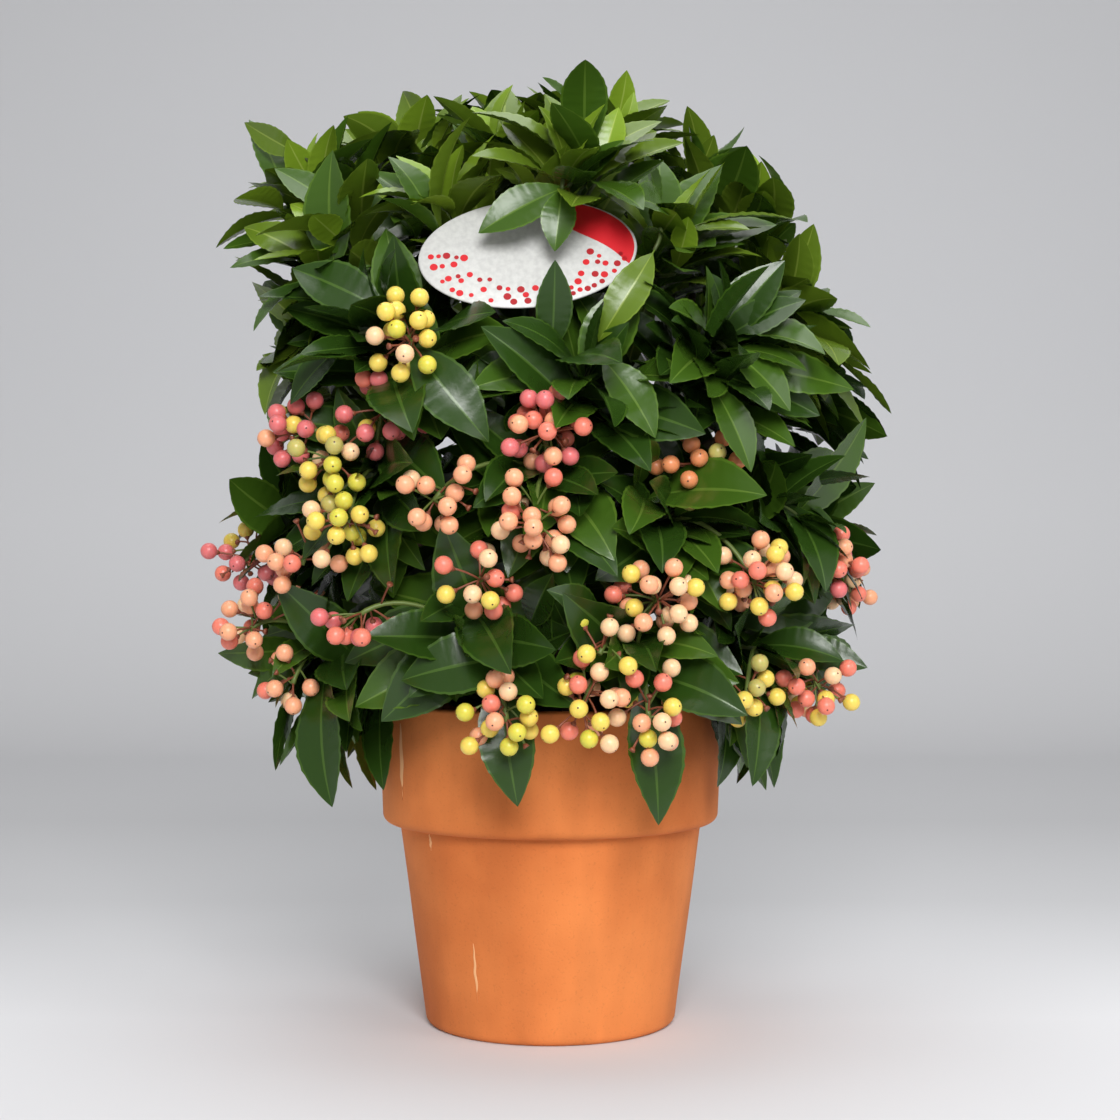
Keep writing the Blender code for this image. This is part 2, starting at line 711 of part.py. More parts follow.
def stake_path():
    """Up from the soil behind the front shoots, then along the back of the card."""
    matrix = card_matrix()
    behind = CARD_THICKNESS / 2 + STAKE_RADIUS + GAP
    low = matrix @ Vector((0.0, -CARD_HEIGHT * 0.30, -behind))
    high = matrix @ Vector((0.0, CARD_HEIGHT * 0.22, -behind))
    return [STAKE_FOOT, STAKE_NECK, low, high]


class Grower:
    """Grows one shoot inside its space, piece by piece, by a seeded rule."""

    def __init__(self, crown, shoot, seed):
        self.shoot = shoot
        self.random = random.Random(seed)
        self.path = crown.paths[shoot.name]
        self.planes = crown.planes(shoot.name)
        self.guards = crown.guards(shoot.name)
        self.pieces = []
        self.filled = []
        self.heart = Vector(shoot.heart)
        drop = (DROOP_TOP_HEIGHT - self.heart.z) / (DROOP_TOP_HEIGHT - DROOP_FOOT_HEIGHT)
        self.droop = LEAF_DROOP * min(max(drop, 0.0), 1.0)

    def inside(self, points):
        for point in points:
            if not CROWN_FOOT < point.z < CROWN_TOP:
                return False
            if math.hypot(point.x, point.y) > CROWN_RADIUS:
                return False
            for normal, offset in self.planes:
                if normal.dot(point) > offset:
                    return False
        return True

    def fits(self, piece, outer=None):
        """True if a piece stays in the space and touches no limb, nor what grows there already."""
        if not self.inside(piece[0]):
            return False
        if tree_of([piece]).overlap(self.guards):
            return False
        tree = tree_of([outer or piece])
        return not any(tree.overlap(other) for other in self.filled)

    def keep(self, piece, outer=None):
        self.pieces.append(piece)
        self.filled.append(tree_of([outer or piece]))

    def grow_stem(self):
        stem = sweep(self.path, shoot_radii(self.path), 3)
        self.keep(stem)

    def grow_leaf(self, root, ahead, length):
        """Tries a leaf, turning and shortening it a little until it fits."""
        outward = heading_of(self.heart)
        for attempt in range(LEAF_TRIES):
            late = attempt / (LEAF_TRIES - 1)
            scatter = LEAF_SCATTER + LATE_SCATTER * late
            turn = Vector([self.random.gauss(0.0, scatter) for _ in range(3)])
            turn += outward * LATE_OUTWARD * late
            along = (ahead + turn + Vector((0.0, 0.0, -self.droop))).normalized()
            size = length * (1 - (1 - LEAF_SHORTEST) * late)
            upper = outward + Vector((0.0, 0.0, UPPER_LIFT))
            upper += Vector([self.random.gauss(0.0, UPPER_SCATTER) for _ in range(3)])
            if along.cross(upper).length < 0.2:
                continue
            tip = root + along * size
            piece = leaf(root, tip, upper, LEAF_WIDTH * size)
            near = root.lerp(tip, ROOT_SHARE)
            outer = leaf(near, tip, upper, LEAF_WIDTH * size * 0.9)
            if self.fits(piece, outer):
                self.keep(piece, outer)
                return True
        return False

    def grow_leaves(self, path, leafy, count, first_turn):
        """Leaves in a spiral on the last part of a path, upright at its tip and spreading below."""
        whole = path_length(path)
        for index in range(count):
            share = (index + 0.5) / count
            distance = whole - TIP_INSET - min(leafy, whole - FOOT_INSET) * share**1.2
            root, axis = point_along(path, distance)
            side = axis.cross(Vector((0.0, 0.0, 1.0)))
            if side.length < 0.3:
                side = axis.cross(Vector((0.0, 1.0, 0.0)))
            side.normalize()
            turn = math.radians(first_turn) + index * GOLDEN_TURN
            around = side * math.cos(turn) + axis.cross(side) * math.sin(turn)
            spread = math.radians(TIP_SPREAD + (FOOT_SPREAD - TIP_SPREAD) * share**0.6)
            ahead = axis * math.cos(spread) + around * math.sin(spread)
            grown = min(1.0, share * 2.5)
            length = self.shoot.leaf_length
            length *= TIP_LEAF_SHARE + (FOOT_LEAF_SHARE - TIP_LEAF_SHARE) * grown
            self.grow_leaf(root, ahead, length * self.random.uniform(0.94, 1.06))

    def grow_side_twig(self):
        """A short twig low on the stem, with a few leaves of its own."""
        whole = path_length(self.path)
        root, axis = point_along(self.path, whole - TWIG_BELOW_HEART)
        for attempt in range(LEAF_TRIES):
            turn = math.radians(self.shoot.turn + 180 + TWIG_TURN * attempt)
            side = axis.orthogonal().normalized()
            around = side * math.cos(turn) + axis.cross(side) * math.sin(turn)
            tip = root + (around + axis * TWIG_FORWARD).normalized() * TWIG_LENGTH
            path = [root, tip]
            piece = sweep(path, [TWIG_RADIUS, TWIG_RADIUS * TWIG_TAPER], 3)
            if self.inside(piece[0]) and not tree_of([piece]).overlap(self.guards):
                self.keep(piece)
                self.grow_leaves(path, TWIG_LENGTH / 2, TWIG_LEAVES, self.shoot.turn)
                return

    def grow_umbel(self, place, berries):
        """A stalk from the stem to a place, with berries on pedicels fanned round its end."""
        root = min(self.path, key=lambda point: (point - place).length)
        lift = Vector((0.0, 0.0, PEDUNCLE_RISE * (place - root).length))
        points = cubic(root, root.lerp(place, 0.35) + lift, root.lerp(place, 0.75) + lift, place, 2)
        radii = [PEDUNCLE_RADIUS] * (len(points) - 1) + [PEDUNCLE_END_RADIUS]
        stalk = sweep(points, radii, 3)
        tree = tree_of([stalk])
        if not self.inside(points[1:]) or tree.overlap(self.guards):
            return
        grown = []
        centres = []
        whole = path_length(points)
        outward = Vector((place.x, place.y, 0.0)).normalized()
        for _ in range(berries * BERRY_TRIES):
            if len(centres) == berries:
                break
            start = point_along(points, whole - UMBEL_DEPTH * self.random.random())[0]
            way = Vector([self.random.gauss(0.0, 1.0) for _ in range(3)]).normalized()
            way = (way + outward * UMBEL_OUTWARD - Vector((0.0, 0.0, UMBEL_DROOP))).normalized()
            centre = start + way * PEDICEL_LENGTH * self.random.uniform(*PEDICEL_SPREAD)
            if any((centre - other).length < BERRY_APART * BERRY_RADIUS for other in centres):
                continue
            if (centre - start).length < SHORTEST_PEDICEL * BERRY_RADIUS:
                continue
            if tree.find_nearest(centre)[3] < BERRY_OFF_STALK * BERRY_RADIUS:
                continue
            fruit = berry(start, centre, BERRY_RADIUS)
            if not self.fits(fruit):
                continue
            centres.append(centre)
            grown.append(fruit)
        if len(centres) < 2:
            return
        self.keep(stalk)
        for piece in grown:
            self.keep(piece)


def make_piece(name, piece, collection, material):
    mesh = bpy.data.meshes.new(name)
    mesh.from_pydata(piece[0], [], piece[1])
    bm = bmesh.new()
    bm.from_mesh(mesh)
    bmesh.ops.recalc_face_normals(bm, faces=bm.faces)
    bm.to_mesh(mesh)
    bm.free()
    return place_mesh(name, mesh, collection, material)


def islands(bm):
    """The separate bodies of a mesh, as sets of faces."""
    left = set(bm.faces)
    found = []
    while left:
        todo = [left.pop()]
        body = set(todo)
        while todo:
            for edge in todo.pop().edges:
                for face in edge.link_faces:
                    if face in left:
                        left.discard(face)
                        body.add(face)
                        todo.append(face)
        found.append(body)
    return found


def keep_largest_body(mesh):
    """Drops loose scraps and the walls of sealed hollows, and returns whether the rest is closed."""
    bm = bmesh.new()
    bm.from_mesh(mesh)
    bodies = sorted(islands(bm), key=len)
    for body in bodies[:-1]:
        bmesh.ops.delete(bm, geom=list(body), context="FACES")
    bmesh.ops.triangulate(bm, faces=bm.faces)
    closed = all(len(edge.link_faces) == 2 for edge in bm.edges)
    bm.to_mesh(mesh)
    bm.free()
    return closed


def fused(name, pieces, collection, material):
    """One solid from overlapping pieces, by a Boolean union on their collection."""
    scraps = make_collection(f"{name}_pieces")
    base = make_piece(name, pieces[0], collection, material)
    for index, piece in enumerate(pieces[1:]):
        make_piece(f"{name}_piece_{index}", piece, scraps, material)
    boolean = base.modifiers.new("Join", "BOOLEAN")
    boolean.operation = "UNION"
    boolean.operand_type = "COLLECTION"
    boolean.collection = scraps
    for solver in ("EXACT", "MANIFOLD"):
        boolean.solver = solver
        bpy.context.view_layer.update()
        graph = bpy.context.evaluated_depsgraph_get()
        joined = bpy.data.meshes.new_from_object(base.evaluated_get(graph))
        if keep_largest_body(joined) and len(joined.polygons) > 0:
            break
    base.modifiers.remove(boolean)
    base.data = joined
    for obj in list(scraps.objects):
        bpy.data.objects.remove(obj)
    bpy.data.collections.remove(scraps)
    return base


def make_label(collection, card_material, stake_material):
    bm = bmesh.new()
    bmesh.ops.create_cone(
        bm,
        cap_ends=True,
        segments=30,
        radius1=0.5,
        radius2=0.5,
        depth=CARD_THICKNESS,
    )
    bmesh.ops.scale(bm, vec=(CARD_WIDTH, CARD_HEIGHT, 1.0), verts=bm.verts)
    bmesh.ops.transform(bm, matrix=card_matrix(), verts=bm.verts)
    mesh = bpy.data.meshes.new("label_card")
    bm.to_mesh(mesh)
    bm.free()
    place_mesh("label_card", mesh, collection, card_material)
    path = stake_path()
    tube("label_stake", path, [STAKE_RADIUS] * len(path), collection, stake_material)


def nearest_shoot(crown, place):
    return min(crown.centres, key=lambda name: (crown.centres[name] - place).length)


def main():
    clear_scene()
    collection = make_collection("potted_ardisia")
    cutters = make_collection("cutters")
    clay = make_material("terracotta", (0.56, 0.22, 0.09), 0.85)
    earth = make_material("potting_soil", (0.03, 0.02, 0.014), 0.95)
    bark = make_material("bark", (0.16, 0.11, 0.06), 0.8)
    green = make_material("foliage", (0.04, 0.14, 0.025), 0.35)
    card = make_material("label_card", (0.75, 0.74, 0.72), 0.4)
    plastic = make_material("label_stake", (0.75, 0.75, 0.73), 0.4)

    make_pot(collection, cutters, clay)
    make_soil(collection, cutters, earth)
    make_label(collection, card, plastic)
    crown = Crown()
    for name, (points, radii) in crown.stems.items():
        tube(name, points, radii, collection, bark)
    for shoot_name, points in crown.boughs.items():
        bough_name = shoot_name.replace("shoot", "bough")
        tube(bough_name, points, bough_radii(points), collection, bark)

    umbels = {}
    for umbel in UMBELS:
        place = Vector(umbel.place)
        umbels.setdefault(nearest_shoot(crown, place), []).append((place, umbel.berries))
    for index, shoot in enumerate(SHOOTS):
        grower = Grower(crown, shoot, SEED * 1000 + index)
        grower.grow_stem()
        if shoot.name in BACK_UMBEL_SHOOTS:
            heart = Vector(shoot.heart)
            outward = Vector((heart.x, heart.y, 0.0)).normalized()
            place = heart + outward * BACK_UMBEL_REACH - Vector((0.0, 0.0, BACK_UMBEL_DROP))
            umbels.setdefault(shoot.name, []).append((place, BACK_UMBEL_BERRIES))
        for place, count in umbels.get(shoot.name, []):
            grower.grow_umbel(place, count)
        grower.grow_leaves(grower.path, SHOOT_LENGTH, shoot.leaves - TWIG_LEAVES, shoot.turn)
        grower.grow_side_twig()
        fused(shoot.name, grower.pieces, collection, green)


main()
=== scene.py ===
"""The looks of the potted ardisia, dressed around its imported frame, in metres."""

import math
import random
from collections import namedtuple

import bmesh
import bpy
import numpy as np
from mathutils import Matrix, Vector, noise
from mathutils.bvhtree import BVHTree


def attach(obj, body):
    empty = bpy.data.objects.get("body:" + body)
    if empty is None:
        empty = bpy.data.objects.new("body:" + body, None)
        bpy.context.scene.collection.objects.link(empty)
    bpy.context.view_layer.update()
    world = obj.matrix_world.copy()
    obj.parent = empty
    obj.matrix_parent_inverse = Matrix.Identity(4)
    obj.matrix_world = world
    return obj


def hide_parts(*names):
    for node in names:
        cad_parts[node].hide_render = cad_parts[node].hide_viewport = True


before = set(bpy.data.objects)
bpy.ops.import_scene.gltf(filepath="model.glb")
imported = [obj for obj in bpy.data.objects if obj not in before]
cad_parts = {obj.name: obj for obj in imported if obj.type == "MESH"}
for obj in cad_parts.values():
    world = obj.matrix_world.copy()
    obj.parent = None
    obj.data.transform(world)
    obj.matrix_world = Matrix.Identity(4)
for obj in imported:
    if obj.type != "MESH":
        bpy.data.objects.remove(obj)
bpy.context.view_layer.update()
SEED = 11
PLACED_SEED = SEED * 77
UMBEL_SEEDS = SEED * 500
SHOOT_SEEDS = SEED * 1000
GAP = 0.0003
UP = Vector((0.0, 0.0, 1.0))


def metres(*values):
    """Places in millimetres as a tuple in metres."""
    return tuple(value / 1000 for value in values)


# Camera, as the photograph was taken
CAMERA_PLACE = (0.0041, -0.862, 0.192)
CAMERA_PITCH = 0.58
CAMERA_LENS = 63.1
CAMERA_SENSOR = 36.0

# Stage
FLOOR_HALF_WIDTH = 6.0
FLOOR_FRONT = -6.0
WALL_PLACE = 1.75
WALL_HEIGHT = 3.2
WALL_BEND = 0.50
BACKDROP_TINT = (1.0, 1.008, 1.04)
BACKDROP_REACH = (-1.75, 1.75)
# Tones along the floor's depth are painted light and shade: a painted pool of light round the pot, painted
# shade in front of it and behind it, and the bend and wall painted lighter where the lamps' light falls off
BACKDROP_PAINTED_LIGHT_TONES = (
    (0.0, 0.50), (0.16, 0.36), (0.30, 0.46), (0.44, 0.68), (0.50, 0.75), (0.545, 0.65),
    (0.59, 0.58), (0.70, 0.56), (0.75, 0.60), (0.89, 0.69), (0.985, 0.79),
)
BACKDROP_ROUGHNESS = 0.9
BEND_STEPS = 24

# Lights: name, place, target, side, power
LIGHTS = (
    ("key", (0.10, -1.40, 0.85), (0.0, 0.0, 0.15), 0.6, 21.0),
    ("fill", (1.15, -0.75, 0.8), (0.0, 0.0, 0.22), 0.8, 4.0),
    ("top", (0.0, 0.10, 1.50), (0.0, 0.0, 0.25), 1.1, 10.0),
)
WORLD_COLOUR = (1.0, 0.99, 0.97, 1.0)
WORLD_STRENGTH = 0.34

# Pot and soil, the same sizes as in the source
POT_HEIGHT = 0.139
RIM_RADIUS = 0.075
RIM_WALL = 0.0075
RIM_ROUND = 0.0016
BAND_HEIGHT = 0.048
BAND_TAPER = 0.0018
BAND_FOOT_ROUND = 0.004
NECK_RADIUS = 0.0658
FOOT_RADIUS = 0.0546
FOOT_ROUND = 0.0035
FLOOR_THICKNESS = 0.009
INNER_FOOT_RADIUS = 0.0465
POT_STEPS = 160
POT_WOBBLE = 0.00022
WOBBLE_AROUND = 1.3
WOBBLE_UP = 26.0
POT_SHARP_ANGLE = 40
ROUND_STEPS = 5
BAND_STEPS = 10
BAND_FOOT_STEPS = 6
BAND_FOOT_TURN = 82
WALL_STEPS = 18
NECK_FILLET = (0.0006, 0.0002)
SOIL_TOP = 0.124
SOIL_ROUGHNESS = 0.0012
SOIL_RINGS = 26
SOIL_STEPS = 96
SOIL_WAVES = 160.0
SOIL_FRACTAL = (1.0, 2.0, 4)
SOIL_SINK = 0.002
SOIL_SINK_POWER = 8
SKIRT_DEPTH = 0.02
SKIRT_SHARE = 0.98
SOIL_CLODS = 700
CLOD_MARGIN = 0.003
CLOD_SIZE = (0.0005, 0.0018)
CLOD_RISE = 0.3
CLOD_UNEVEN = (0.6, 1.2)

# Pale drips of slip on the pot: angle, top, foot, width
DRIPS = ((-57.0, 0.132, 0.100, 0.0046), (-50.0, 0.0860, 0.0790, 0.0024), (-32.0, 0.042, 0.017, 0.0019))
DRIP_COLOUR = (0.84, 0.44, 0.20)
DRIP_STEPS = 24
DRIP_PROUD = 0.00018
DRIP_WANDER = 0.0008
DRIP_WAVES = 5.0
DRIP_NARROW = 0.35
DRIP_SWELL = 1.15
DRIP_START = 0.05

# Label
CARD_PLACE = Vector((-0.0085, -0.094, 0.320))
CARD_WIDTH = 0.086
CARD_HEIGHT = 0.050
CARD_THICKNESS = 0.0009
CARD_LEAN = 24.0
CARD_ROLL = 6.0
CARD_STEPS = 96
PRINT_PROUD = 0.00006
DOT_ANGLES = (172.0, 352.0)
DOT_DEPTH = 0.34
DOT_RADIUS = (0.0009, 0.0016)
DOT_GAP = 0.00015
DOT_SIDES = 20
DOT_TRIES = 160
STAKE_RADIUS = 0.0014
STAKE_BEHIND = 0.0018
STAKE_FOOT = Vector((-0.010, -0.048, 0.094))
STAKE_NECK = Vector((-0.010, -0.0865, 0.285))
STAKE_LOW = 0.30
STAKE_HIGH = 0.22
STAKE_STEPS = 60
STAKE_SIDES = 16
CARD_SHARP_ANGLE = 50
CARD_EDGE = ((0.5, 1.0), (0.985, 1.0), (0.997, 0.6), (1.0, 0.0), (0.997, -0.6), (0.985, -1.0), (0.5, -1.0))
CRESCENT_STEPS = 48
CRESCENT_TURN = (-22, 120)
CRESCENT_OUTER = 0.975
CRESCENT_WIDTH = 0.42
CRESCENT_FULLNESS = 0.8
DOT_MARGIN = 0.09

# Stems: name, foot, tip, radius above the root flare and at the tip
Stem = namedtuple("Stem", "name foot tip radius tip_radius")
STEMS = (
    Stem("trunk", (0.003, 0.007), (-0.010, 0.020, 0.345), 0.0048, 0.0022),
    Stem("stem_left", (-0.024, -0.002), (-0.084, -0.012, 0.312), 0.0036, 0.0018),
    Stem("stem_right", (0.025, 0.001), (0.062, -0.002, 0.318), 0.0036, 0.0018),
    Stem("stem_front", (0.008, -0.024), (0.017, -0.050, 0.292), 0.0034, 0.0018),
    Stem("stem_back", (-0.004, 0.034), (-0.006, 0.074, 0.312), 0.0034, 0.0018),
)
FLARE_SHARE = 0.75
FLARE_HEIGHT = 0.006
FLARE_POINTS = (0.5, 1.2)
CURVE_STEPS = 8
STEM_POINTS = 90
STEM_STEPS = 7
STEM_FOOT_RISE = 0.40
STEM_FOOT_SPREAD = 0.45
STEM_TIP_RISE = 0.35
STEM_TIP_SPREAD = 0.08

# Limbs and the way shoots point
SHOOT_LENGTH = 0.040
SHOOT_RADIUS = 0.0016
SHOOT_TAPER = 0.45
BOUGH_RADIUS = 0.0024
BOUGH_TIP_RADIUS = 0.0017
LIMB_RISE = 0.45
LIMB_LEAST_RISE = 0.020
LIMB_DIP = 0.012
LIMB_ABOVE_SOIL = 0.014
LIMB_BELOW_TIP = 0.012
LIMB_LIFT = 0.35
LIMB_CLEARANCE = 0.0004
TIP_STEPS = 8
LIMB_STEPS = 10
BOUGH_POINTS = 40
SHOOT_POINTS = 10
GUARD_SKIP = 4
GUARD_SIDES = 6
GUARD_STAKE_SIDES = 8
GUARD_CARD_SIDES = 24
GUARD_POT_SIDES = 48
GUARD_SOIL_RISE = 0.002
LOW_HEART = 0.150
HIGH_HEART = 0.385
LOW_SLOPE = -14.0
HIGH_SLOPE = 70.0
AXIS_REACH = 0.03
SPACE_CENTRE_AHEAD = 0.008
SPACE_OVERLAP = 0.012
CROWN_TOP = 0.412
CROWN_FOOT = 0.092
CROWN_RADIUS = 0.153
RIGHT_SHOULDER_HEIGHT = 0.262
RIGHT_SHOULDER_REACH = 0.150
RIGHT_SHOULDER_SLOPE = 0.53
LEFT_REACH = 0.143
LEFT_WAIST_HEIGHTS = (0.238, 0.314)
LEFT_WAIST_REACH = 0.124
RIGHT_FOOT_HEIGHT = 0.136
RIGHT_FOOT_REACH = 0.100
BARK_SIDES = 12
BARK_RELIEF = 0.09
BARK_WAVES = 420.0
BARK_TURNS = 1.7

# Shoots, in millimetres and degrees: name, heart, limb, how the limb holds it, leaf length, first
# turn, and the mixture of colours of its own umbel, if it has one
Shoot = namedtuple("Shoot", "name heart limb hold leaf_length turn mix")
SHOOT_ROWS = (
    ("top_centre", -14, 22, 391, "trunk", "tip", 48, 100, ""),
    ("top_right", 27, -12, 385, "trunk", "side", 49, 20, ""),
    ("top_left", -64, 4, 377, "trunk", "side", 49, 150, ""),
    ("top_front", -22, -42, 368, "trunk", "side", 48, 250, ""),
    ("over_label", 6, -90, 352, "stem_front", "tip", 49, 200, ""),
    ("left_of_label", -40, -76, 340, "trunk", "bough", 49, 190, ""),
    ("right_of_label", 44, -73, 331, "stem_right", "side", 51, 300, ""),
    ("upper_left", -100, -20, 357, "stem_left", "tip", 49, 160, ""),
    ("left_front", -83, -61, 330, "stem_left", "side", 51, 210, ""),
    ("upper_right", 62, 0, 364, "stem_right", "tip", 47, 30, ""),
    ("right_upper", 86, -27, 343, "stem_right", "side", 50, 330, ""),
    ("back_top_right", 34, 62, 368, "stem_back", "side", 51, 60, ""),
    ("back_top_left", -46, 62, 366, "stem_back", "tip", 51, 120, ""),
    ("right_front", 98, -45, 304, "stem_right", "bough", 56, 320, ""),
    ("front_right", 65, -89, 285, "stem_right", "bough", 58, 290, ""),
    ("front_middle", 14, -103, 270, "stem_front", "side", 56, 270, ""),
    ("middle_left", -58, -91, 288, "stem_left", "bough", 60, 230, ""),
    ("left_side", -104, -28, 298, "stem_left", "side", 57, 180, ""),
    ("far_right", 114, 8, 280, "stem_right", "bough", 58, 0, ""),
    ("back_right", 80, 76, 300, "stem_back", "bough", 57, 40, "coral"),
    ("back_middle", -4, 108, 302, "stem_back", "side", 57, 90, ""),
    ("back_left", -85, 72, 298, "stem_back", "bough", 57, 140, "peach"),
    ("right_low", 93, -62, 222, "stem_right", "bough", 56, 340, ""),
    ("centre_low", -2, -96, 234, "stem_front", "side", 56, 260, ""),
    ("left_low", -70, -80, 236, "stem_left", "bough", 56, 220, ""),
    ("left_side_low", -108, -12, 222, "stem_left", "side", 58, 190, "pink_yellow"),
    ("centre_right_low", 49, -86, 216, "stem_right", "side", 56, 280, ""),
    ("right_side_low", 112, 26, 214, "stem_right", "bough", 58, 10, "peach"),
    ("back_low_right", 58, 94, 222, "stem_back", "side", 58, 70, "cream"),
    ("back_low", -22, 112, 218, "stem_back", "side", 58, 100, "coral_yellow"),
    ("back_low_left", -90, 66, 216, "stem_back", "bough", 58, 150, "yellow_peach"),
    ("foot_left", -92, -50, 165, "stem_left", "side", 60, 230, ""),
    ("foot_front_left", -28, -92, 168, "stem_front", "side", 60, 250, ""),
    ("foot_front_right", 34, -94, 166, "stem_front", "side", 60, 290, ""),
    ("foot_right", 84, -58, 164, "stem_right", "side", 60, 320, ""),
    ("foot_back_right", 88, 52, 162, "stem_right", "side", 60, 30, "peach"),
    ("foot_back", 4, 100, 164, "stem_back", "side", 60, 90, "yellow_peach"),
    ("foot_back_left", -84, 56, 164, "stem_left", "side", 60, 150, "coral"),
)
SHOOTS = [
    Shoot(f"shoot_{name}", metres(x, y, z), limb, hold, length / 1000, turn, mix)
    for name, x, y, z, limb, hold, length, turn, mix in SHOOT_ROWS
]

# Leaves: sizes as shares of the length, angles in degrees
LEAF_WIDTH = (0.37, 0.45)
LEAF_ROWS = 30
LEAF_COLUMNS = (-1.0, -0.90, -0.48, -0.055, 0.055, 0.48, 0.90, 1.0)
LEAF_LOBES = 10
PETIOLE_SHARE = 0.07
PETIOLE_WIDTH = 0.035
LEAF_FULLNESS = 0.78
TIP_TAPER = 0.30
TIP_TAPER_POWER = 5
EDGE_POWER = 6
VEIN_SLANT = 0.22
MIDRIB_REACH = 0.2
MIDRIB_EDGE = 0.05
MARGIN_START = 0.9
TWIST_START = 0.2
LOBE_DEPTH = 0.022
LOBE_RIPPLE = 0.006
VEIN_COUNT = 9
VEIN_RELIEF = 0.0026
MIDRIB_DEPTH = 0.006
LEAF_FOLD = (0.06, 0.34)
LEAF_BEND = (10.0, 62.0)
LEAF_TWIST = 26.0
LEAF_TRIES = 18
LEAF_SHORTEST = 0.74
LEAF_SCATTER = 0.10
LATE_SCATTER = 0.34
LATE_OUTWARD = 0.9
LEAF_DROOP = 0.6
DROOP_FOOT_HEIGHT = 0.16
DROOP_TOP_HEIGHT = 0.36
UPPER_LIFT = 0.35
UPPER_SCATTER = 0.20
ROOT_SHARE = 0.22
PROXY_WIDTH = 0.64
PROXY_RIDGE = 0.02
RISE_DIVISOR = 8
LEAST_SIDE = 0.2
LEAST_LEVEL_SIDE = 0.3
TIP_MARGIN = 0.0006
FOOT_MARGIN = 0.004
LEAF_CROWDING = 1.2
SPREAD_POWER = 0.6
GROWING_RATE = 2.5
LENGTH_UNEVEN = (0.92, 1.08)
MAIN_LEAVES = 21
TWIG_LEAVES = 5
TWIG_LENGTH = 0.022
TWIG_RADIUS = 0.0010
TWIG_SIDES = 5
KEPT_SIDES = 4
TWIG_BELOW_HEART = (0.013, 0.020, 0.028, 0.036)
TWIG_FORWARD = 0.75
TWIG_ARCH = 0.001
TWIG_TAPER = (1.0, 0.9, 0.7)
TWIG_TURN = 130
TWIG_TRY_TURN = 40
TWIG_LEAFY_SHARE = 0.6
SHOOT_STEPS = 16
SHOOT_SIDES = 7
SHOOT_RELIEF = 0.05
GOLDEN_TURN = math.radians(137.5)
TIP_SPREAD = 22.0
FOOT_SPREAD = 108.0
TIP_LEAF_SHARE = 0.62
FOOT_LEAF_SHARE = 1.04
LEAF_GROUPS = 5
YOUNG_HEIGHT = 0.320
OLIVE_HEIGHT = 0.290
YOUNG_SHARE = 0.22
YOUNG_ODDS = 0.75
OLIVE_ODDS = 0.55
GREEN_ODDS = 0.40
LEAF_ROUGHNESS = 0.27
LEAF_SPECULAR = 0.42
LEAF_GRAIN_SCALE = 700.0
LEAF_GRAIN = (0.12, 0.0003)
FINE_DETAIL = 2.0

# Single leaves that the photo shows in front of the rest, each on its own thin twig, in millimetres
PlacedLeaf = namedtuple("PlacedLeaf", "root tip width tint")
PLACED_ROWS = (
    ((8, -97, 346), (-28, -103, 326), 0.42, 1),
    ((5, -100, 345), (2, -106, 318), 0.50, 1),
    ((-61, -100, 295), (-102, -90, 315), 0.44, 0),
    ((-54, -112, 283), (-22, -120, 243), 0.42, 0),
    ((-8, -106, 163), (-58, -104, 153), 0.50, 0),
    ((41, -106, 320), (18, -112, 282), 0.34, 2),
    ((68, -98, 283), (94, -100, 257), 0.50, 1),
    ((61, -104, 270), (78, -106, 233), 0.44, 1),
    ((19, -112, 278), (41, -116, 245), 0.46, 1),
    ((-77, -92, 287), (-103, -86, 261), 0.46, 0),
    ((116, -18, 278), (144, -22, 254), 0.44, 0),
    ((-20, -98, 158), (-12, -107, 104), 0.40, 0),
    ((36, -98, 156), (42, -107, 97), 0.42, 0),
    ((-90, -64, 160), (-86, -84, 101), 0.42, 0),
    ((84, -66, 160), (80, -86, 110), 0.40, 0),
    ((26, -20, 378), (36, -22, 402), 0.36, 3),
    ((62, -4, 374), (85, -8, 390), 0.42, 1),
    ((-105, -30, 372), (-130, -32, 386), 0.42, 2),
)
PLACED_LEAVES = [
    PlacedLeaf(metres(*root), metres(*tip), width, tint) for root, tip, width, tint in PLACED_ROWS
]
PLACED_LIFT = 0.45
PLACED_BEND = 34.0
PLACED_FOLD = 0.16
PLACED_TWIST = 14.0
PLACED_UNEVEN = (0.6, 1.4)
PLACED_GUARD = (0.8, 0.06)
PLACED_TWIG = 0.8
PLACED_TWIG_STEPS = 8
PLACED_TWIG_SIDES = 6
PLACED_TWIG_LIFT = 0.2
PLACED_TWIG_TURN = (0.4, 0.25)
PLACED_TWIG_END = 0.001
BAND_CLEAR_HEIGHT = 0.143
BAND_CLEAR_REACH = 0.066

# Berries
BERRY_RADIUS = 0.0036
BERRY_SEGMENTS = 16
BERRY_ANGLES = (6, 16, 32, 50, 70, 90, 110, 130, 148, 164)
PEDICEL_LENGTH = 0.0120
PEDICEL_SPREAD = (0.75, 1.45)
PEDICEL_RADIUS = 0.00042
PEDUNCLE_RADIUS = 0.0009
PEDUNCLE_RISE = 0.25
CALYX_RADIUS = 0.0014
CALYX_LENGTH = 0.0013
UMBEL_DEPTH = 0.010
UMBEL_OUTWARD = 0.5
UMBEL_DROOP = 0.18
BERRY_TRIES = 60
BARE_PEDICELS = 2
STALK_STEPS = 12
STALK_TURNS = (0.35, 0.75)
STALK_SWELL = 0.25
STALK_SWELL_POWER = 4
STALK_SKIP = 3
STALK_SIDES = 7
PEDICEL_SIDES = 5
PEDICEL_STEPS = 4
PEDICEL_TURNS = (0.35, 0.7)
PEDICEL_SAG = 0.0012
PEDICEL_FLARE = 1.5
BARE_SHARE = 0.8
RED_ODDS = 0.7
BERRY_SPACING = 2.04
BERRY_STALK_GAP = 1.5
BERRY_GUARD_GAP = 1.05
BERRY_SINK = 0.96
CALYX_PLACES = (-1.0, -0.3, 0.35)
CALYX_FLARE = 0.8
CALYX_FOOT = 1.2
BERRY_ROUGHNESS = 0.34
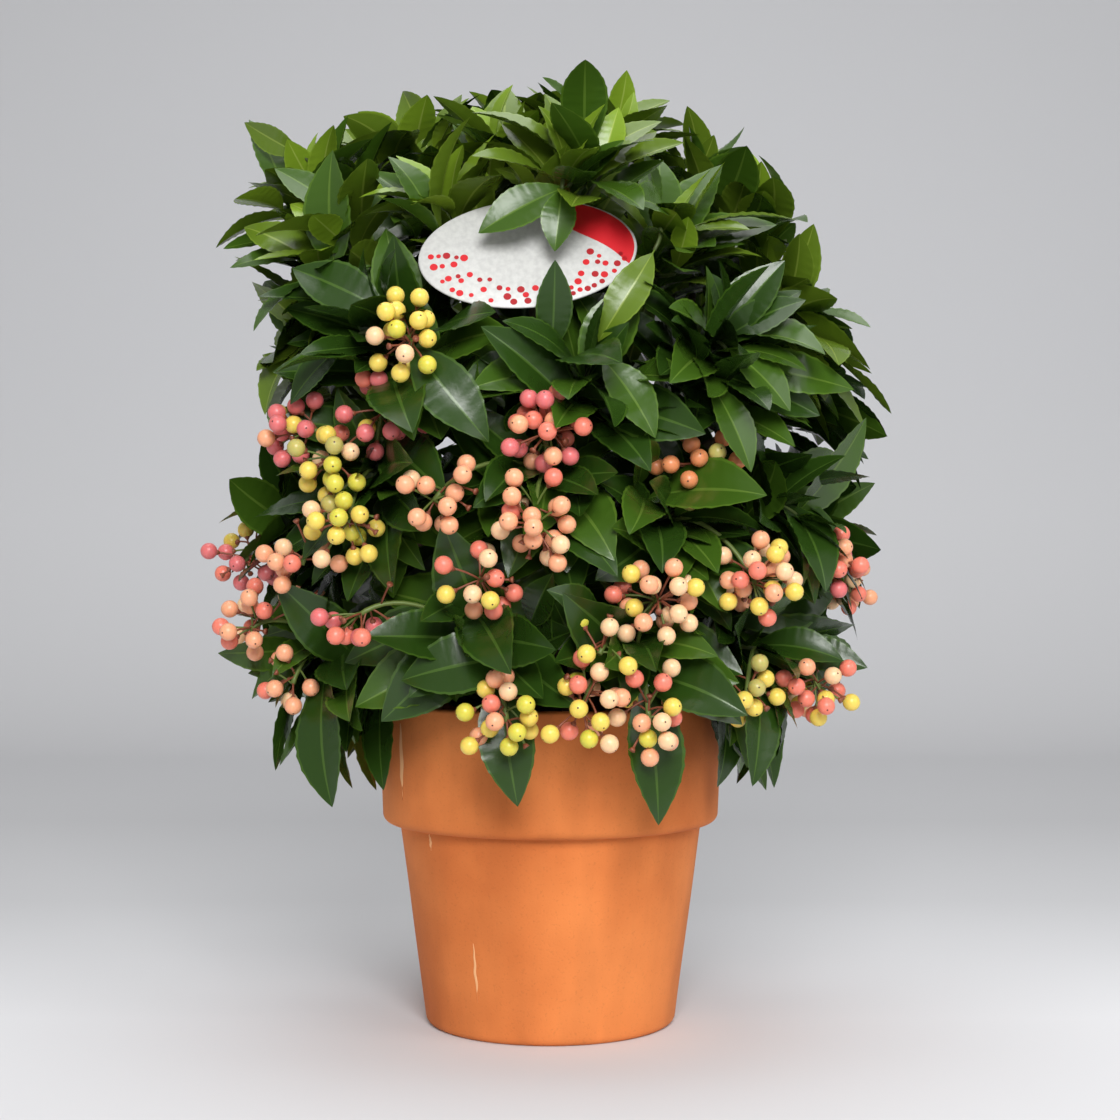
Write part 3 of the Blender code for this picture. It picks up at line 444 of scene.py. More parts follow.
BERRY_SKIN = {"Subsurface_Weight": 0.18, "Subsurface_Scale": 0.003}
BERRY_GRAIN_SCALE = 420.0
BERRY_GRAIN = (0.06, 0.0003)

# Umbels, in millimetres: where the stalk ends, how many berries it holds, its mixture of colours
Umbel = namedtuple("Umbel", "place berries mix")
UMBEL_ROWS = (
    (-52, -118, 280, 15, "yellow"),
    (-64, -98, 258, 12, "pink"),
    (-100, -78, 250, 15, "pink_yellow"),
    (-85, -100, 238, 16, "olive_yellow"),
    (-78, -104, 214, 14, "yellow"),
    (-98, -86, 198, 8, "peach"),
    (-122, -62, 172, 15, "peach"),
    (-104, -68, 150, 7, "peach"),
    (-74, -102, 178, 8, "coral"),
    (0, -118, 248, 19, "coral"),
    (-44, -116, 222, 11, "peach"),
    (-6, -122, 212, 19, "peach"),
    (-26, -118, 192, 12, "coral_yellow"),
    (62, -92, 238, 15, "orange"),
    (112, -60, 200, 11, "coral"),
    (80, -100, 190, 23, "cream"),
    (42, -114, 184, 20, "cream"),
    (110, -62, 148, 18, "coral_yellow"),
    (-16, -114, 138, 16, "yellow_peach"),
    (12, -118, 142, 16, "yellow_peach"),
    (38, -114, 138, 15, "yellow_peach"),
    (78, -82, 144, 8, "olive_yellow"),
    (19, -120, 164, 5, "yellow"),
)
UMBELS = [Umbel(metres(x, y, z), berries, mix) for x, y, z, berries, mix in UMBEL_ROWS]
BACK_UMBEL_BERRIES = 12
BACK_UMBEL_REACH = 0.024
BACK_UMBEL_DROP = 0.022
BERRY_COLOURS = {
    "coral": (0.84, 0.22, 0.15),
    "pink": (0.72, 0.17, 0.17),
    "peach": (0.88, 0.40, 0.22),
    "cream": (0.90, 0.58, 0.33),
    "yellow": (0.82, 0.62, 0.11),
    "lime": (0.66, 0.60, 0.07),
    "olive": (0.50, 0.44, 0.12),
    "orange": (0.74, 0.27, 0.11),
}
MIXES = {
    "yellow": ("yellow", "lime", "yellow", "yellow", "lime", "cream"),
    "pink": ("pink", "pink", "coral", "pink"),
    "pink_yellow": ("pink", "coral", "pink", "yellow", "pink", "peach"),
    "olive_yellow": ("olive", "yellow", "lime", "olive", "cream"),
    "peach": ("peach", "coral", "peach", "cream", "peach"),
    "coral": ("coral", "coral", "pink", "peach"),
    "coral_yellow": ("coral", "peach", "yellow", "cream", "coral"),
    "orange": ("orange", "orange", "peach", "olive"),
    "cream": ("cream", "peach", "cream", "coral", "peach", "yellow"),
    "yellow_peach": ("cream", "yellow", "peach", "lime", "coral", "peach"),
}

# Clay: clouds of colour, then layers of streaks and specks (scale, stretch, stops, share), then bumps
CLAY_COLOUR = (0.70, 0.195, 0.042)
CLAY_ROUGHNESS = 0.85
CLAY_DETAIL = 3.0
CLAY_CLOUD_SCALE = 14.0
CLAY_CLOUDS = ((0.36, (0.60, 0.155, 0.030)), (0.64, (0.79, 0.242, 0.058)))
CLAY_LAYERS = (
    (60.0, 0.16, ((0.40, (0.82, 0.82, 0.82)), (0.62, (1.0, 1.0, 1.0))), 0.50),
    (900.0, 1.0, ((0.30, (0.62, 0.60, 0.58)), (0.42, (1.0, 1.0, 1.0))), 0.25),
)
CLAY_DENT_SCALE = 45.0
CLAY_DENTS = (0.10, 0.002)
CLAY_GRAIN = (0.22, 0.0004)

# Finishes with one grain: its stops of colour, and the bump's strength and depth
Finish = namedtuple("Finish", "colour roughness scale detail stretch stops bump")
FINISHES = {
    "soil": Finish(
        (0.03, 0.02, 0.014), 0.95, 260.0, 6.0, 1.0,
        ((0.35, (0.012, 0.008, 0.006)), (0.55, (0.040, 0.026, 0.017)), (0.75, (0.10, 0.065, 0.040))),
        (0.6, 0.002),
    ),
    "bark": Finish(
        (0.16, 0.11, 0.06), 0.82, 320.0, 5.0, 0.30,
        ((0.30, (0.055, 0.036, 0.022)), (0.55, (0.13, 0.090, 0.052)), (0.75, (0.22, 0.17, 0.11))),
        (0.5, 0.0008),
    ),
    "card": Finish(
        (0.57, 0.57, 0.55), 0.38, 500.0, 3.0, 1.0,
        ((0.35, (0.53, 0.53, 0.515)), (0.65, (0.61, 0.61, 0.59))), (0.25, 0.0003),
    ),
    "stake": Finish(
        (0.036, 0.062, 0.024), 0.50, 180.0, 3.0, 0.2,
        ((0.3, (0.028, 0.050, 0.019)), (0.7, (0.046, 0.076, 0.029))), (0.1, 0.0004),
    ),
}
PRINT_ROUGHNESS = 0.35
PRINT_RED = (0.62, 0.012, 0.020)
PRINT_DARK_RED = (0.40, 0.010, 0.016)

# Leaf colours in turn: midrib, blade, margin
LEAF_TINTS = {
    "dark": ((0.050, 0.105, 0.014), (0.019, 0.050, 0.005), (0.040, 0.090, 0.009)),
    "green": ((0.090, 0.165, 0.020), (0.042, 0.096, 0.008), (0.070, 0.140, 0.013)),
    "olive": ((0.185, 0.255, 0.034), (0.098, 0.162, 0.012), (0.130, 0.205, 0.018)),
    "young": ((0.290, 0.390, 0.060), (0.185, 0.295, 0.020), (0.220, 0.335, 0.028)),
}
# Stalks, twigs and berry tips: colour and roughness
STALK_GREEN = ((0.12, 0.17, 0.035), 0.45)
STALK_RED = ((0.24, 0.07, 0.035), 0.45)
TWIG_GREEN = ((0.060, 0.085, 0.022), 0.5)
BERRY_TIP = ((0.06, 0.02, 0.012), 0.6)


def material(name, colour, roughness, **sockets):
    made = bpy.data.materials.new(name)
    made.use_nodes = True
    shader = made.node_tree.nodes["Principled BSDF"]
    shader.inputs["Base Color"].default_value = (*colour, 1.0)
    shader.inputs["Roughness"].default_value = roughness
    for socket, value in sockets.items():
        shader.inputs[socket.replace("_", " ")].default_value = value
    return made


def node(made, kind, **values):
    new = made.node_tree.nodes.new(kind)
    for name, value in values.items():
        if hasattr(new, name):
            setattr(new, name, value)
        else:
            new.inputs[name.replace("_", " ")].default_value = value
    return new


def noise_of(made, scale, detail=4.0, stretch=(1.0, 1.0, 1.0)):
    """A noise pattern fixed to the object."""
    place = node(made, "ShaderNodeTexCoord")
    mapping = node(made, "ShaderNodeMapping", Scale=stretch)
    pattern = node(made, "ShaderNodeTexNoise", Scale=scale, Detail=detail)
    links = made.node_tree.links
    links.new(place.outputs["Object"], mapping.inputs["Vector"])
    links.new(mapping.outputs["Vector"], pattern.inputs["Vector"])
    return pattern


def ramp_of(made, source, stops):
    ramp = node(made, "ShaderNodeValToRGB")
    colours = ramp.color_ramp.elements
    while len(colours) < len(stops):
        colours.new(0.5)
    for element, (place, colour) in zip(colours, stops):
        element.position = place
        element.color = (*colour, 1.0)
    made.node_tree.links.new(source, ramp.inputs["Fac"])
    return ramp.outputs["Color"]


def multiplied(made, share, first, second):
    mix = node(made, "ShaderNodeMix", data_type="RGBA", blend_type="MULTIPLY")
    links = made.node_tree.links
    mix.inputs["Factor"].default_value = share
    links.new(first, mix.inputs["A"])
    links.new(second, mix.inputs["B"])
    return next(socket for socket in mix.outputs if socket.type == "RGBA")


def bumped(made, heights):
    """Bump from one or more (pattern, strength, distance), one after the other."""
    shader = made.node_tree.nodes["Principled BSDF"]
    links = made.node_tree.links
    before = None
    for pattern, strength, distance in heights:
        bump = node(made, "ShaderNodeBump", Strength=strength, Distance=distance)
        links.new(pattern.outputs["Fac"], bump.inputs["Height"])
        if before:
            links.new(before.outputs["Normal"], bump.inputs["Normal"])
        before = bump
    links.new(before.outputs["Normal"], shader.inputs["Normal"])


def painted(made, colour):
    shader = made.node_tree.nodes["Principled BSDF"]
    made.node_tree.links.new(colour, shader.inputs["Base Color"])


def clay_material():
    made = material("clay", CLAY_COLOUR, CLAY_ROUGHNESS)
    colour = ramp_of(made, noise_of(made, CLAY_CLOUD_SCALE).outputs["Fac"], CLAY_CLOUDS)
    for scale, stretch, stops, share in CLAY_LAYERS:
        grain = noise_of(made, scale, CLAY_DETAIL, (1.0, 1.0, stretch))
        colour = multiplied(made, share, colour, ramp_of(made, grain.outputs["Fac"], stops))
    painted(made, colour)
    bumped(made, ((noise_of(made, CLAY_DENT_SCALE), *CLAY_DENTS), (grain, *CLAY_GRAIN)))
    return made


def grained_material(name):
    """A finish whose colour and bump follow one grain."""
    finish = FINISHES[name]
    made = material(name, finish.colour, finish.roughness)
    grain = noise_of(made, finish.scale, finish.detail, (1.0, 1.0, finish.stretch))
    painted(made, ramp_of(made, grain.outputs["Fac"], finish.stops))
    bumped(made, ((grain, *finish.bump),))
    return made


def foliage_material(name, colour, roughness):
    made = material(name, colour, roughness, Specular_IOR_Level=LEAF_SPECULAR)
    bumped(made, ((noise_of(made, LEAF_GRAIN_SCALE, FINE_DETAIL), *LEAF_GRAIN),))
    return made


def berry_material(name, colour):
    made = material(f"berry_{name}", colour, BERRY_ROUGHNESS, **BERRY_SKIN)
    bumped(made, ((noise_of(made, BERRY_GRAIN_SCALE, FINE_DETAIL), *BERRY_GRAIN),))
    return made


def object_of(name, mesh, materials, body="root"):
    obj = bpy.data.objects.new(name, mesh)
    for made in materials:
        mesh.materials.append(made)
    bpy.context.scene.collection.objects.link(obj)
    if body:
        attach(obj, body)
    return obj


class MeshBuilder:
    """Collects points and faces with their material slots, then makes one mesh."""

    def __init__(self):
        self.points = []
        self.faces = []
        self.slots = []
        self.count = 0

    def add(self, points, faces, slots):
        points = np.asarray(points, float)
        start = self.count
        self.points.append(points)
        self.count += len(points)
        self.faces += [tuple(start + index for index in face) for face in faces]
        self.slots += [slots] * len(faces) if isinstance(slots, int) else list(slots)

    def object(self, name, materials, smooth=True):
        mesh = bpy.data.meshes.new(name)
        mesh.from_pydata(np.concatenate(self.points).tolist(), [], self.faces)
        obj = object_of(name, mesh, materials)
        mesh.polygons.foreach_set("material_index", self.slots)
        if smooth:
            mesh.shade_smooth()
        mesh.update()
        return obj


def circle(radius, steps):
    """Points of a level circle round the origin."""
    turns = [math.tau * step / steps for step in range(steps)]
    return [(radius * math.cos(turn), radius * math.sin(turn)) for turn in turns]


def joined(low, high, steps, flip=False):
    """Faces between two closed rings, each given by the number of its first point."""
    faces = []
    for step in range(steps):
        after = (step + 1) % steps
        a, b, c, d = low + step, low + after, high + after, high + step
        faces.append((a, d, c, b) if flip else (a, b, c, d))
    return faces


def arc(centre, radius, start, end, steps):
    points = []
    for step in range(steps + 1):
        angle = math.radians(start + (end - start) * step / steps)
        points.append((centre[0] + radius * math.cos(angle), centre[1] + radius * math.sin(angle)))
    return points


def inner_radius(height):
    share = (height - FLOOR_THICKNESS) / (POT_HEIGHT - FLOOR_THICKNESS)
    return INNER_FOOT_RADIUS + share * (RIM_RADIUS - RIM_WALL - INNER_FOOT_RADIUS)


def spaced(start, end, steps):
    return [tuple(a + (b - a) * step / steps for a, b in zip(start, end)) for step in range(1, steps)]


def pot_profile():
    """The pot's outline from its inner floor over the rim to the middle of its underside."""
    band_foot = POT_HEIGHT - BAND_HEIGHT
    band_radius = RIM_RADIUS - BAND_TAPER
    rim_height = POT_HEIGHT - RIM_ROUND
    inner = inner_radius(POT_HEIGHT)
    steps = BAND_FOOT_STEPS
    wall_top = (NECK_RADIUS, band_foot - BAND_FOOT_ROUND)
    fillet = (NECK_RADIUS + NECK_FILLET[0], wall_top[1] + NECK_FILLET[1])
    profile = [(0.0, FLOOR_THICKNESS), (INNER_FOOT_RADIUS, FLOOR_THICKNESS)]
    profile += arc((inner + RIM_ROUND, rim_height), RIM_ROUND, 180, 90, ROUND_STEPS)
    profile += arc((RIM_RADIUS - RIM_ROUND, rim_height), RIM_ROUND, 90, 0, ROUND_STEPS)
    profile += spaced((RIM_RADIUS, rim_height), (band_radius, band_foot), BAND_STEPS)
    profile += arc((band_radius - BAND_FOOT_ROUND, band_foot), BAND_FOOT_ROUND, 0, -BAND_FOOT_TURN, steps)
    profile += [fillet, wall_top]
    profile += spaced(wall_top, (FOOT_RADIUS, FOOT_ROUND), WALL_STEPS)
    profile += arc((FOOT_RADIUS - FOOT_ROUND, FOOT_ROUND), FOOT_ROUND, 0, -90, ROUND_STEPS)
    return [*profile, (0.0, 0.0)]


def surface_radius(height):
    """The pot's outer radius at a height on its band or its wall."""
    band_foot = POT_HEIGHT - BAND_HEIGHT
    if height > band_foot:
        return RIM_RADIUS - BAND_TAPER * (POT_HEIGHT - height) / BAND_HEIGHT
    top = band_foot - BAND_FOOT_ROUND
    return FOOT_RADIUS + (NECK_RADIUS - FOOT_RADIUS) * (height - FOOT_ROUND) / (top - FOOT_ROUND)


def turned_mesh(profile, steps, wobble):
    """Points and faces of a turned shape whose wall is uneven by a wobble."""
    points = []
    faces = []
    rings = []
    for radius, height in profile:
        rings.append((len(points), radius == 0.0))
        if radius == 0.0:
            points.append(UP * height)
            continue
        for x, y in circle(1.0, steps):
            way = Vector((x, y, 0.0))
            uneven = noise.noise(way * WOBBLE_AROUND + UP * (height * WOBBLE_UP))
            points.append(way * (radius + (uneven - 0.5) * wobble) + UP * height)
    for (low, low_pole), (high, high_pole) in zip(rings, rings[1:]):
        for step in range(steps):
            after = (step + 1) % steps
            if low_pole:
                faces.append((high + step, high + after, low))
            elif high_pole:
                faces.append((high, low + after, low + step))
            else:
                faces.append((high + step, high + after, low + after, low + step))
    return points, faces


def make_pot(clay):
    builder = MeshBuilder()
    builder.add(*turned_mesh(pot_profile(), POT_STEPS, POT_WOBBLE), 0)
    pot = builder.object("clay_pot", [clay])
    pot.data.set_sharp_from_angle(angle=math.radians(POT_SHARP_ANGLE))
    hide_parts("pot")


def make_drips(slip):
    """Thin pale streaks that follow the pot's outer face, a hair proud of it."""
    builder = MeshBuilder()
    for azimuth, top, foot, width in DRIPS:
        points = []
        for step in range(DRIP_STEPS + 1):
            share = step / DRIP_STEPS
            height = top + (foot - top) * share
            wander = DRIP_WANDER * noise.noise(Vector((azimuth, share * DRIP_WAVES, 0.0)))
            swell = math.sin(math.pi * min(share * DRIP_SWELL + DRIP_START, 1.0)) ** 0.5
            half = width * (DRIP_NARROW + (1 - DRIP_NARROW) * share) * swell / 2
            radius = surface_radius(height)
            for side, lift in ((-1, 0.0), (0, DRIP_PROUD), (1, 0.0)):
                angle = math.radians(azimuth) + (wander + side * half) / radius
                reach = radius + lift
                points.append((reach * math.sin(angle), -reach * math.cos(angle), height))
        starts = [step * 3 + side for step in range(DRIP_STEPS) for side in (0, 1)]
        builder.add(points, [(a, a + 3, a + 4, a + 1) for a in starts], 0)
    drips = builder.object("pot_drips", [slip])


def unit_ball(radius):
    """Points and faces of a coarse ball."""
    bm = bmesh.new()
    bmesh.ops.create_icosphere(bm, subdivisions=1, radius=radius)
    points = [vertex.co.copy() for vertex in bm.verts]
    faces = [tuple(vertex.index for vertex in face.verts) for face in bm.faces]
    bm.free()
    return points, faces


def make_soil(earth):
    """A rough surface of soil with loose clods, over the hidden fill."""
    builder = MeshBuilder()
    outer = inner_radius(SOIL_TOP) - GAP
    points = [(0.0, 0.0, SOIL_TOP)]
    for ring in range(1, SOIL_RINGS + 1):
        drop = SOIL_SINK * (ring / SOIL_RINGS) ** SOIL_SINK_POWER
        for x, y in circle(outer * ring / SOIL_RINGS, SOIL_STEPS):
            rough = noise.fractal(Vector((x, y, 0.0)) * SOIL_WAVES, *SOIL_FRACTAL)
            points.append((x, y, SOIL_TOP + SOIL_ROUGHNESS * rough - drop))
    points += [(x, y, SOIL_TOP - SKIRT_DEPTH) for x, y in circle(SKIRT_SHARE * outer, SOIL_STEPS)]
    faces = [(0, 1 + step, 1 + (step + 1) % SOIL_STEPS) for step in range(SOIL_STEPS)]
    for ring in range(SOIL_RINGS):
        first = 1 + ring * SOIL_STEPS
        faces += joined(first, first + SOIL_STEPS, SOIL_STEPS, flip=True)
    builder.add(points, faces, 0)
    rng = random.Random(SEED)
    clod, clod_faces = unit_ball(1.0)
    for _ in range(SOIL_CLODS):
        radius = (outer - CLOD_MARGIN) * math.sqrt(rng.random())
        angle = math.tau * rng.random()
        size = rng.uniform(*CLOD_SIZE)
        height = SOIL_TOP + size * CLOD_RISE
        centre = Vector((radius * math.cos(angle), radius * math.sin(angle), height))
        builder.add([centre + corner * size * rng.uniform(*CLOD_UNEVEN) for corner in clod], clod_faces, 0)
    soil = builder.object("soil_surface", [earth], smooth=False)
    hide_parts("soil")


def cubic(start, first, second, end, count):
    points = []
    for index in range(count + 1):
        t = index / count
        u = 1 - t
        points.append(u**3 * start + 3 * u * u * t * first + 3 * u * t * t * second + t**3 * end)
    return points


def path_length(points):
    return sum((b - a).length for a, b in zip(points, points[1:]))


def point_along(points, distance):
    """The point and the direction at a distance along a path."""
    for a, b in zip(points, points[1:]):
        step = (b - a).length
        if distance <= step:
            return a.lerp(b, distance / step), (b - a).normalized()
        distance -= step
    return points[-1], (points[-1] - points[-2]).normalized()


def part_of_path(points, start, end, count):
    return [point_along(points, start + (end - start) * i / count)[0] for i in range(count + 1)]


def frame_along(points):
    """A side and an up vector for each point of a path, turned as little as possible."""
    frames = []
    side = None
    for index in range(len(points)):
        ahead = points[min(index + 1, len(points) - 1)] - points[max(index - 1, 0)]
        ahead.normalize()
        if side is None:
            side = ahead.orthogonal().normalized()
        side = (side - ahead * side.dot(ahead)).normalized()
        frames.append((side, ahead.cross(side)))
    return frames


def sweep(points, radii, sides, relief=0.0):
    """A closed tube along a path, whose wall is uneven by a share of its radius."""
    vertices = []
    faces = []
    for point, radius, (side, up) in zip(points, radii, frame_along(points)):
        for across, above in circle(1.0, sides):
            way = side * across + up * above
            uneven = 1.0
            if relief:
                uneven -= relief * abs(noise.noise(point * BARK_WAVES + way * BARK_TURNS))
            vertices.append(point + way * radius * uneven)
    for ring in range(len(points) - 1):
        faces += joined(ring * sides, (ring + 1) * sides, sides)
    faces.append(tuple(reversed(range(sides))))
    faces.append(tuple(range((len(points) - 1) * sides, len(points) * sides)))
    return vertices, faces


def smooth_path(points, count):
    """Evenly spaced points on a soft curve through a path's points."""
    curve = []
    last = len(points) - 1
    for index in range(last):
        before = points[max(index - 1, 0)]
        start = points[index]
        end = points[index + 1]
        after = points[min(index + 2, last)]
        first = start + (end - before) / 6
        second = end - (after - start) / 6
        curve += cubic(start, first, second, end, CURVE_STEPS)[: None if index == last - 1 else -1]
    return part_of_path(curve, 0.0, path_length(curve), count)


def tree_of(pieces):
    vertices = []
    faces = []
    for points, polygons in pieces:
        start = len(vertices)
        vertices += points
        faces += [tuple(start + index for index in polygon) for polygon in polygons]
    return BVHTree.FromPolygons(vertices, faces, epsilon=0.0)


def level(place):
    """A vector without its height."""
    return Vector((place.x, place.y, 0.0))


def heading_of(heart):
    """The way a shoot points: outwards low on the crown and upwards at its top."""
    outward = level(heart)
    rise = min(max((heart.z - LOW_HEART) / (HIGH_HEART - LOW_HEART), 0.0), 1.0)
    reach = outward.length
    angle = math.radians(LOW_SLOPE + (HIGH_SLOPE - LOW_SLOPE) * rise)
    if reach < AXIS_REACH:
        angle = math.radians(90 - (90 - HIGH_SLOPE) * reach / AXIS_REACH)
    outward.normalize()
    return outward * math.cos(angle) + UP * math.sin(angle)


def stem_path(stem):
    foot = Vector((*stem.foot, SOIL_TOP + GAP))
    tip = Vector(stem.tip)
    rise = tip.z - foot.z
    spread = level(tip - foot)
    first = foot + UP * (STEM_FOOT_RISE * rise) + spread * STEM_FOOT_SPREAD
    second = tip - UP * (STEM_TIP_RISE * rise) - spread * STEM_TIP_SPREAD
    points = cubic(foot, first, second, tip, STEM_STEPS)
    near = [points[0] + UP * (FLARE_HEIGHT * share) for share in FLARE_POINTS]
    return [points[0], *near, *points[1:]]


def stem_radius(stem, height):
    above = height - SOIL_TOP - GAP
    share = above / (stem.tip[2] - SOIL_TOP - GAP)
    flare = 1 + FLARE_SHARE * math.exp(-above / FLARE_HEIGHT)
    return flare * (stem.radius + (stem.tip_radius - stem.radius) * share)


def at_height(points, height):
    for a, b in zip(points, points[1:]):
        if height <= b.z:
            return a.lerp(b, (height - a.z) / (b.z - a.z))
    return points[-1]


def limb_path(shoot, stem, points):
    """The line from the limb that carries a shoot to the shoot's heart."""
    heart = Vector(shoot.heart)
    ahead = heading_of(heart)
    if shoot.hold == "tip":
        steps = TIP_STEPS
        start, leaving = point_along(points, path_length(points))
    else:
        steps = LIMB_STEPS
        spread = Vector((heart.x - stem.tip[0], heart.y - stem.tip[1], 0.0)).length
        wanted = heart.z - max(LIMB_LEAST_RISE, LIMB_RISE * spread) - LIMB_DIP
        wanted = min(max(wanted, SOIL_TOP + LIMB_ABOVE_SOIL), stem.tip[2] - LIMB_BELOW_TIP)
        start = at_height(points, wanted)
        towards = Vector((heart.x - start.x, heart.y - start.y, 0.0)).normalized()
        leaving = (towards + UP * LIMB_LIFT).normalized()
    reach = (heart - start).length
    return cubic(start, start + leaving * reach / 3, heart - ahead * reach / 3, heart, steps)


def card_matrix():
    turn = Matrix.Rotation(math.radians(90 - CARD_LEAN), 4, "X")
    roll = Matrix.Rotation(math.radians(CARD_ROLL), 4, "Z")
    return Matrix.Translation(CARD_PLACE) @ turn @ roll


def stake_path():
    matrix = card_matrix()
    behind = CARD_THICKNESS / 2 + STAKE_RADIUS + STAKE_BEHIND
    low = matrix @ Vector((0.0, -CARD_HEIGHT * STAKE_LOW, -behind))
    high = matrix @ Vector((0.0, CARD_HEIGHT * STAKE_HIGH, -behind))
    return [STAKE_FOOT, STAKE_NECK, low, high]


def pot_guard():
    """The space that the pot and the soil fill, as the tests see it."""
    low = SOIL_TOP + GUARD_SOIL_RISE
    top = POT_HEIGHT + LIMB_CLEARANCE
    inner = inner_radius(POT_HEIGHT) - LIMB_CLEARANCE
    outer = RIM_RADIUS + LIMB_CLEARANCE
    foot = POT_HEIGHT - BAND_HEIGHT - BAND_FOOT_ROUND
    profile = [(0.0, low), (inner_radius(SOIL_TOP), low), (inner, top), (outer, top)]
    profile += [(outer, foot), (NECK_RADIUS, foot), (FOOT_RADIUS, 0.0)]
    return turned_mesh(profile, GUARD_POT_SIDES, 0.0)


def card_guard():
    half = CARD_THICKNESS / 2 + LIMB_CLEARANCE
    sides = GUARD_CARD_SIDES
    vertices = []
    for height in (-half, half):
        for across, up in circle(1.0, sides):
            corner = Vector((CARD_WIDTH / 2 * across, CARD_HEIGHT / 2 * up, height))
            vertices.append(card_matrix() @ corner)
    return vertices, [tuple(range(sides)), tuple(range(sides, 2 * sides)), *joined(0, sides, sides)]


def extent(points):
    """The middle of some points and their reach from it."""
    middle = sum(points, Vector()) / len(points)
    return middle, max((point - middle).length for point in points)


class Crown:
    """The limbs, the space of each shoot, and all that has grown so far."""

    def __init__(self):
        self.limbs = {}
        self.paths = {}
        self.centres = {}
        self.grown = []
        stems = {stem.name: (stem, stem_path(stem)) for stem in STEMS}
        for name, (stem, points) in stems.items():
            path = smooth_path(points, STEM_POINTS)
            self.limbs[name] = (path, [stem_radius(stem, point.z) for point in path])
        for shoot in SHOOTS:
            path = limb_path(shoot, *stems[shoot.limb])
            if shoot.hold == "bough":
                whole = path_length(path)
                bough = part_of_path(path, 0.0, whole - SHOOT_LENGTH, BOUGH_POINTS)
                thinning = BOUGH_TIP_RADIUS - BOUGH_RADIUS
                radii = [BOUGH_RADIUS + thinning * i / BOUGH_POINTS for i in range(BOUGH_POINTS + 1)]
                self.limbs[shoot.name.replace("shoot", "bough")] = (bough, radii)
                path = part_of_path(path, whole - SHOOT_LENGTH, whole, SHOOT_POINTS)
            self.paths[shoot.name] = path
            heart = Vector(shoot.heart)
            self.centres[shoot.name] = heart + heading_of(heart) * SPACE_CENTRE_AHEAD
        stake = stake_path()
        guards = [pot_guard(), card_guard()]
        guards.append(sweep(stake, [STAKE_RADIUS] * len(stake), GUARD_STAKE_SIDES))
        for points, radii in self.limbs.values():
            outer = [radius + LIMB_CLEARANCE for radius in radii[::GUARD_SKIP]]
            guards.append(sweep(points[::GUARD_SKIP], outer, GUARD_SIDES))
        for leaf in PLACED_LEAVES:
            root, tip, side, face = placed_frame(leaf)
            length = (tip - root).length
            width, rise = PLACED_GUARD
            guards.append(leaf_proxy(root, tip, side, face, leaf.width * length * width, length * rise))
        self.guards = tree_of(guards)
        self.card = tree_of([card_guard()])

    def planes(self, name):
        own = self.centres[name]
        planes = []
        for other, centre in self.centres.items():
            if other != name:
                normal = (centre - own).normalized()
                planes.append((normal, normal.dot((centre + own) / 2) + SPACE_OVERLAP))
        return planes

    def nearest(self, place):
        """The shoot whose path comes nearest to a place, and the nearest point of that path."""
        owner = min(self.paths, key=lambda name: min((point - place).length for point in self.paths[name]))
        return owner, self.nearest_on(owner, place)

    def nearest_on(self, owner, place):
        return min(self.paths[owner], key=lambda point: (point - place).length)

    def keep(self, piece, owner):
        self.grown.append((*extent(piece[0]), tree_of([piece]), owner))

    def clear(self, piece, owner):
        """True if a piece touches no limb and nothing that has grown, apart from its owner's stem."""
        middle, reach = extent(piece[0])
        tree = tree_of([piece])
        if tree.overlap(self.guards):
            return False
        for other, size, other_tree, other_owner in self.grown:
            if other_owner != owner and (other - middle).length < reach + size:
                if tree.overlap(other_tree):
                    return False
        return True


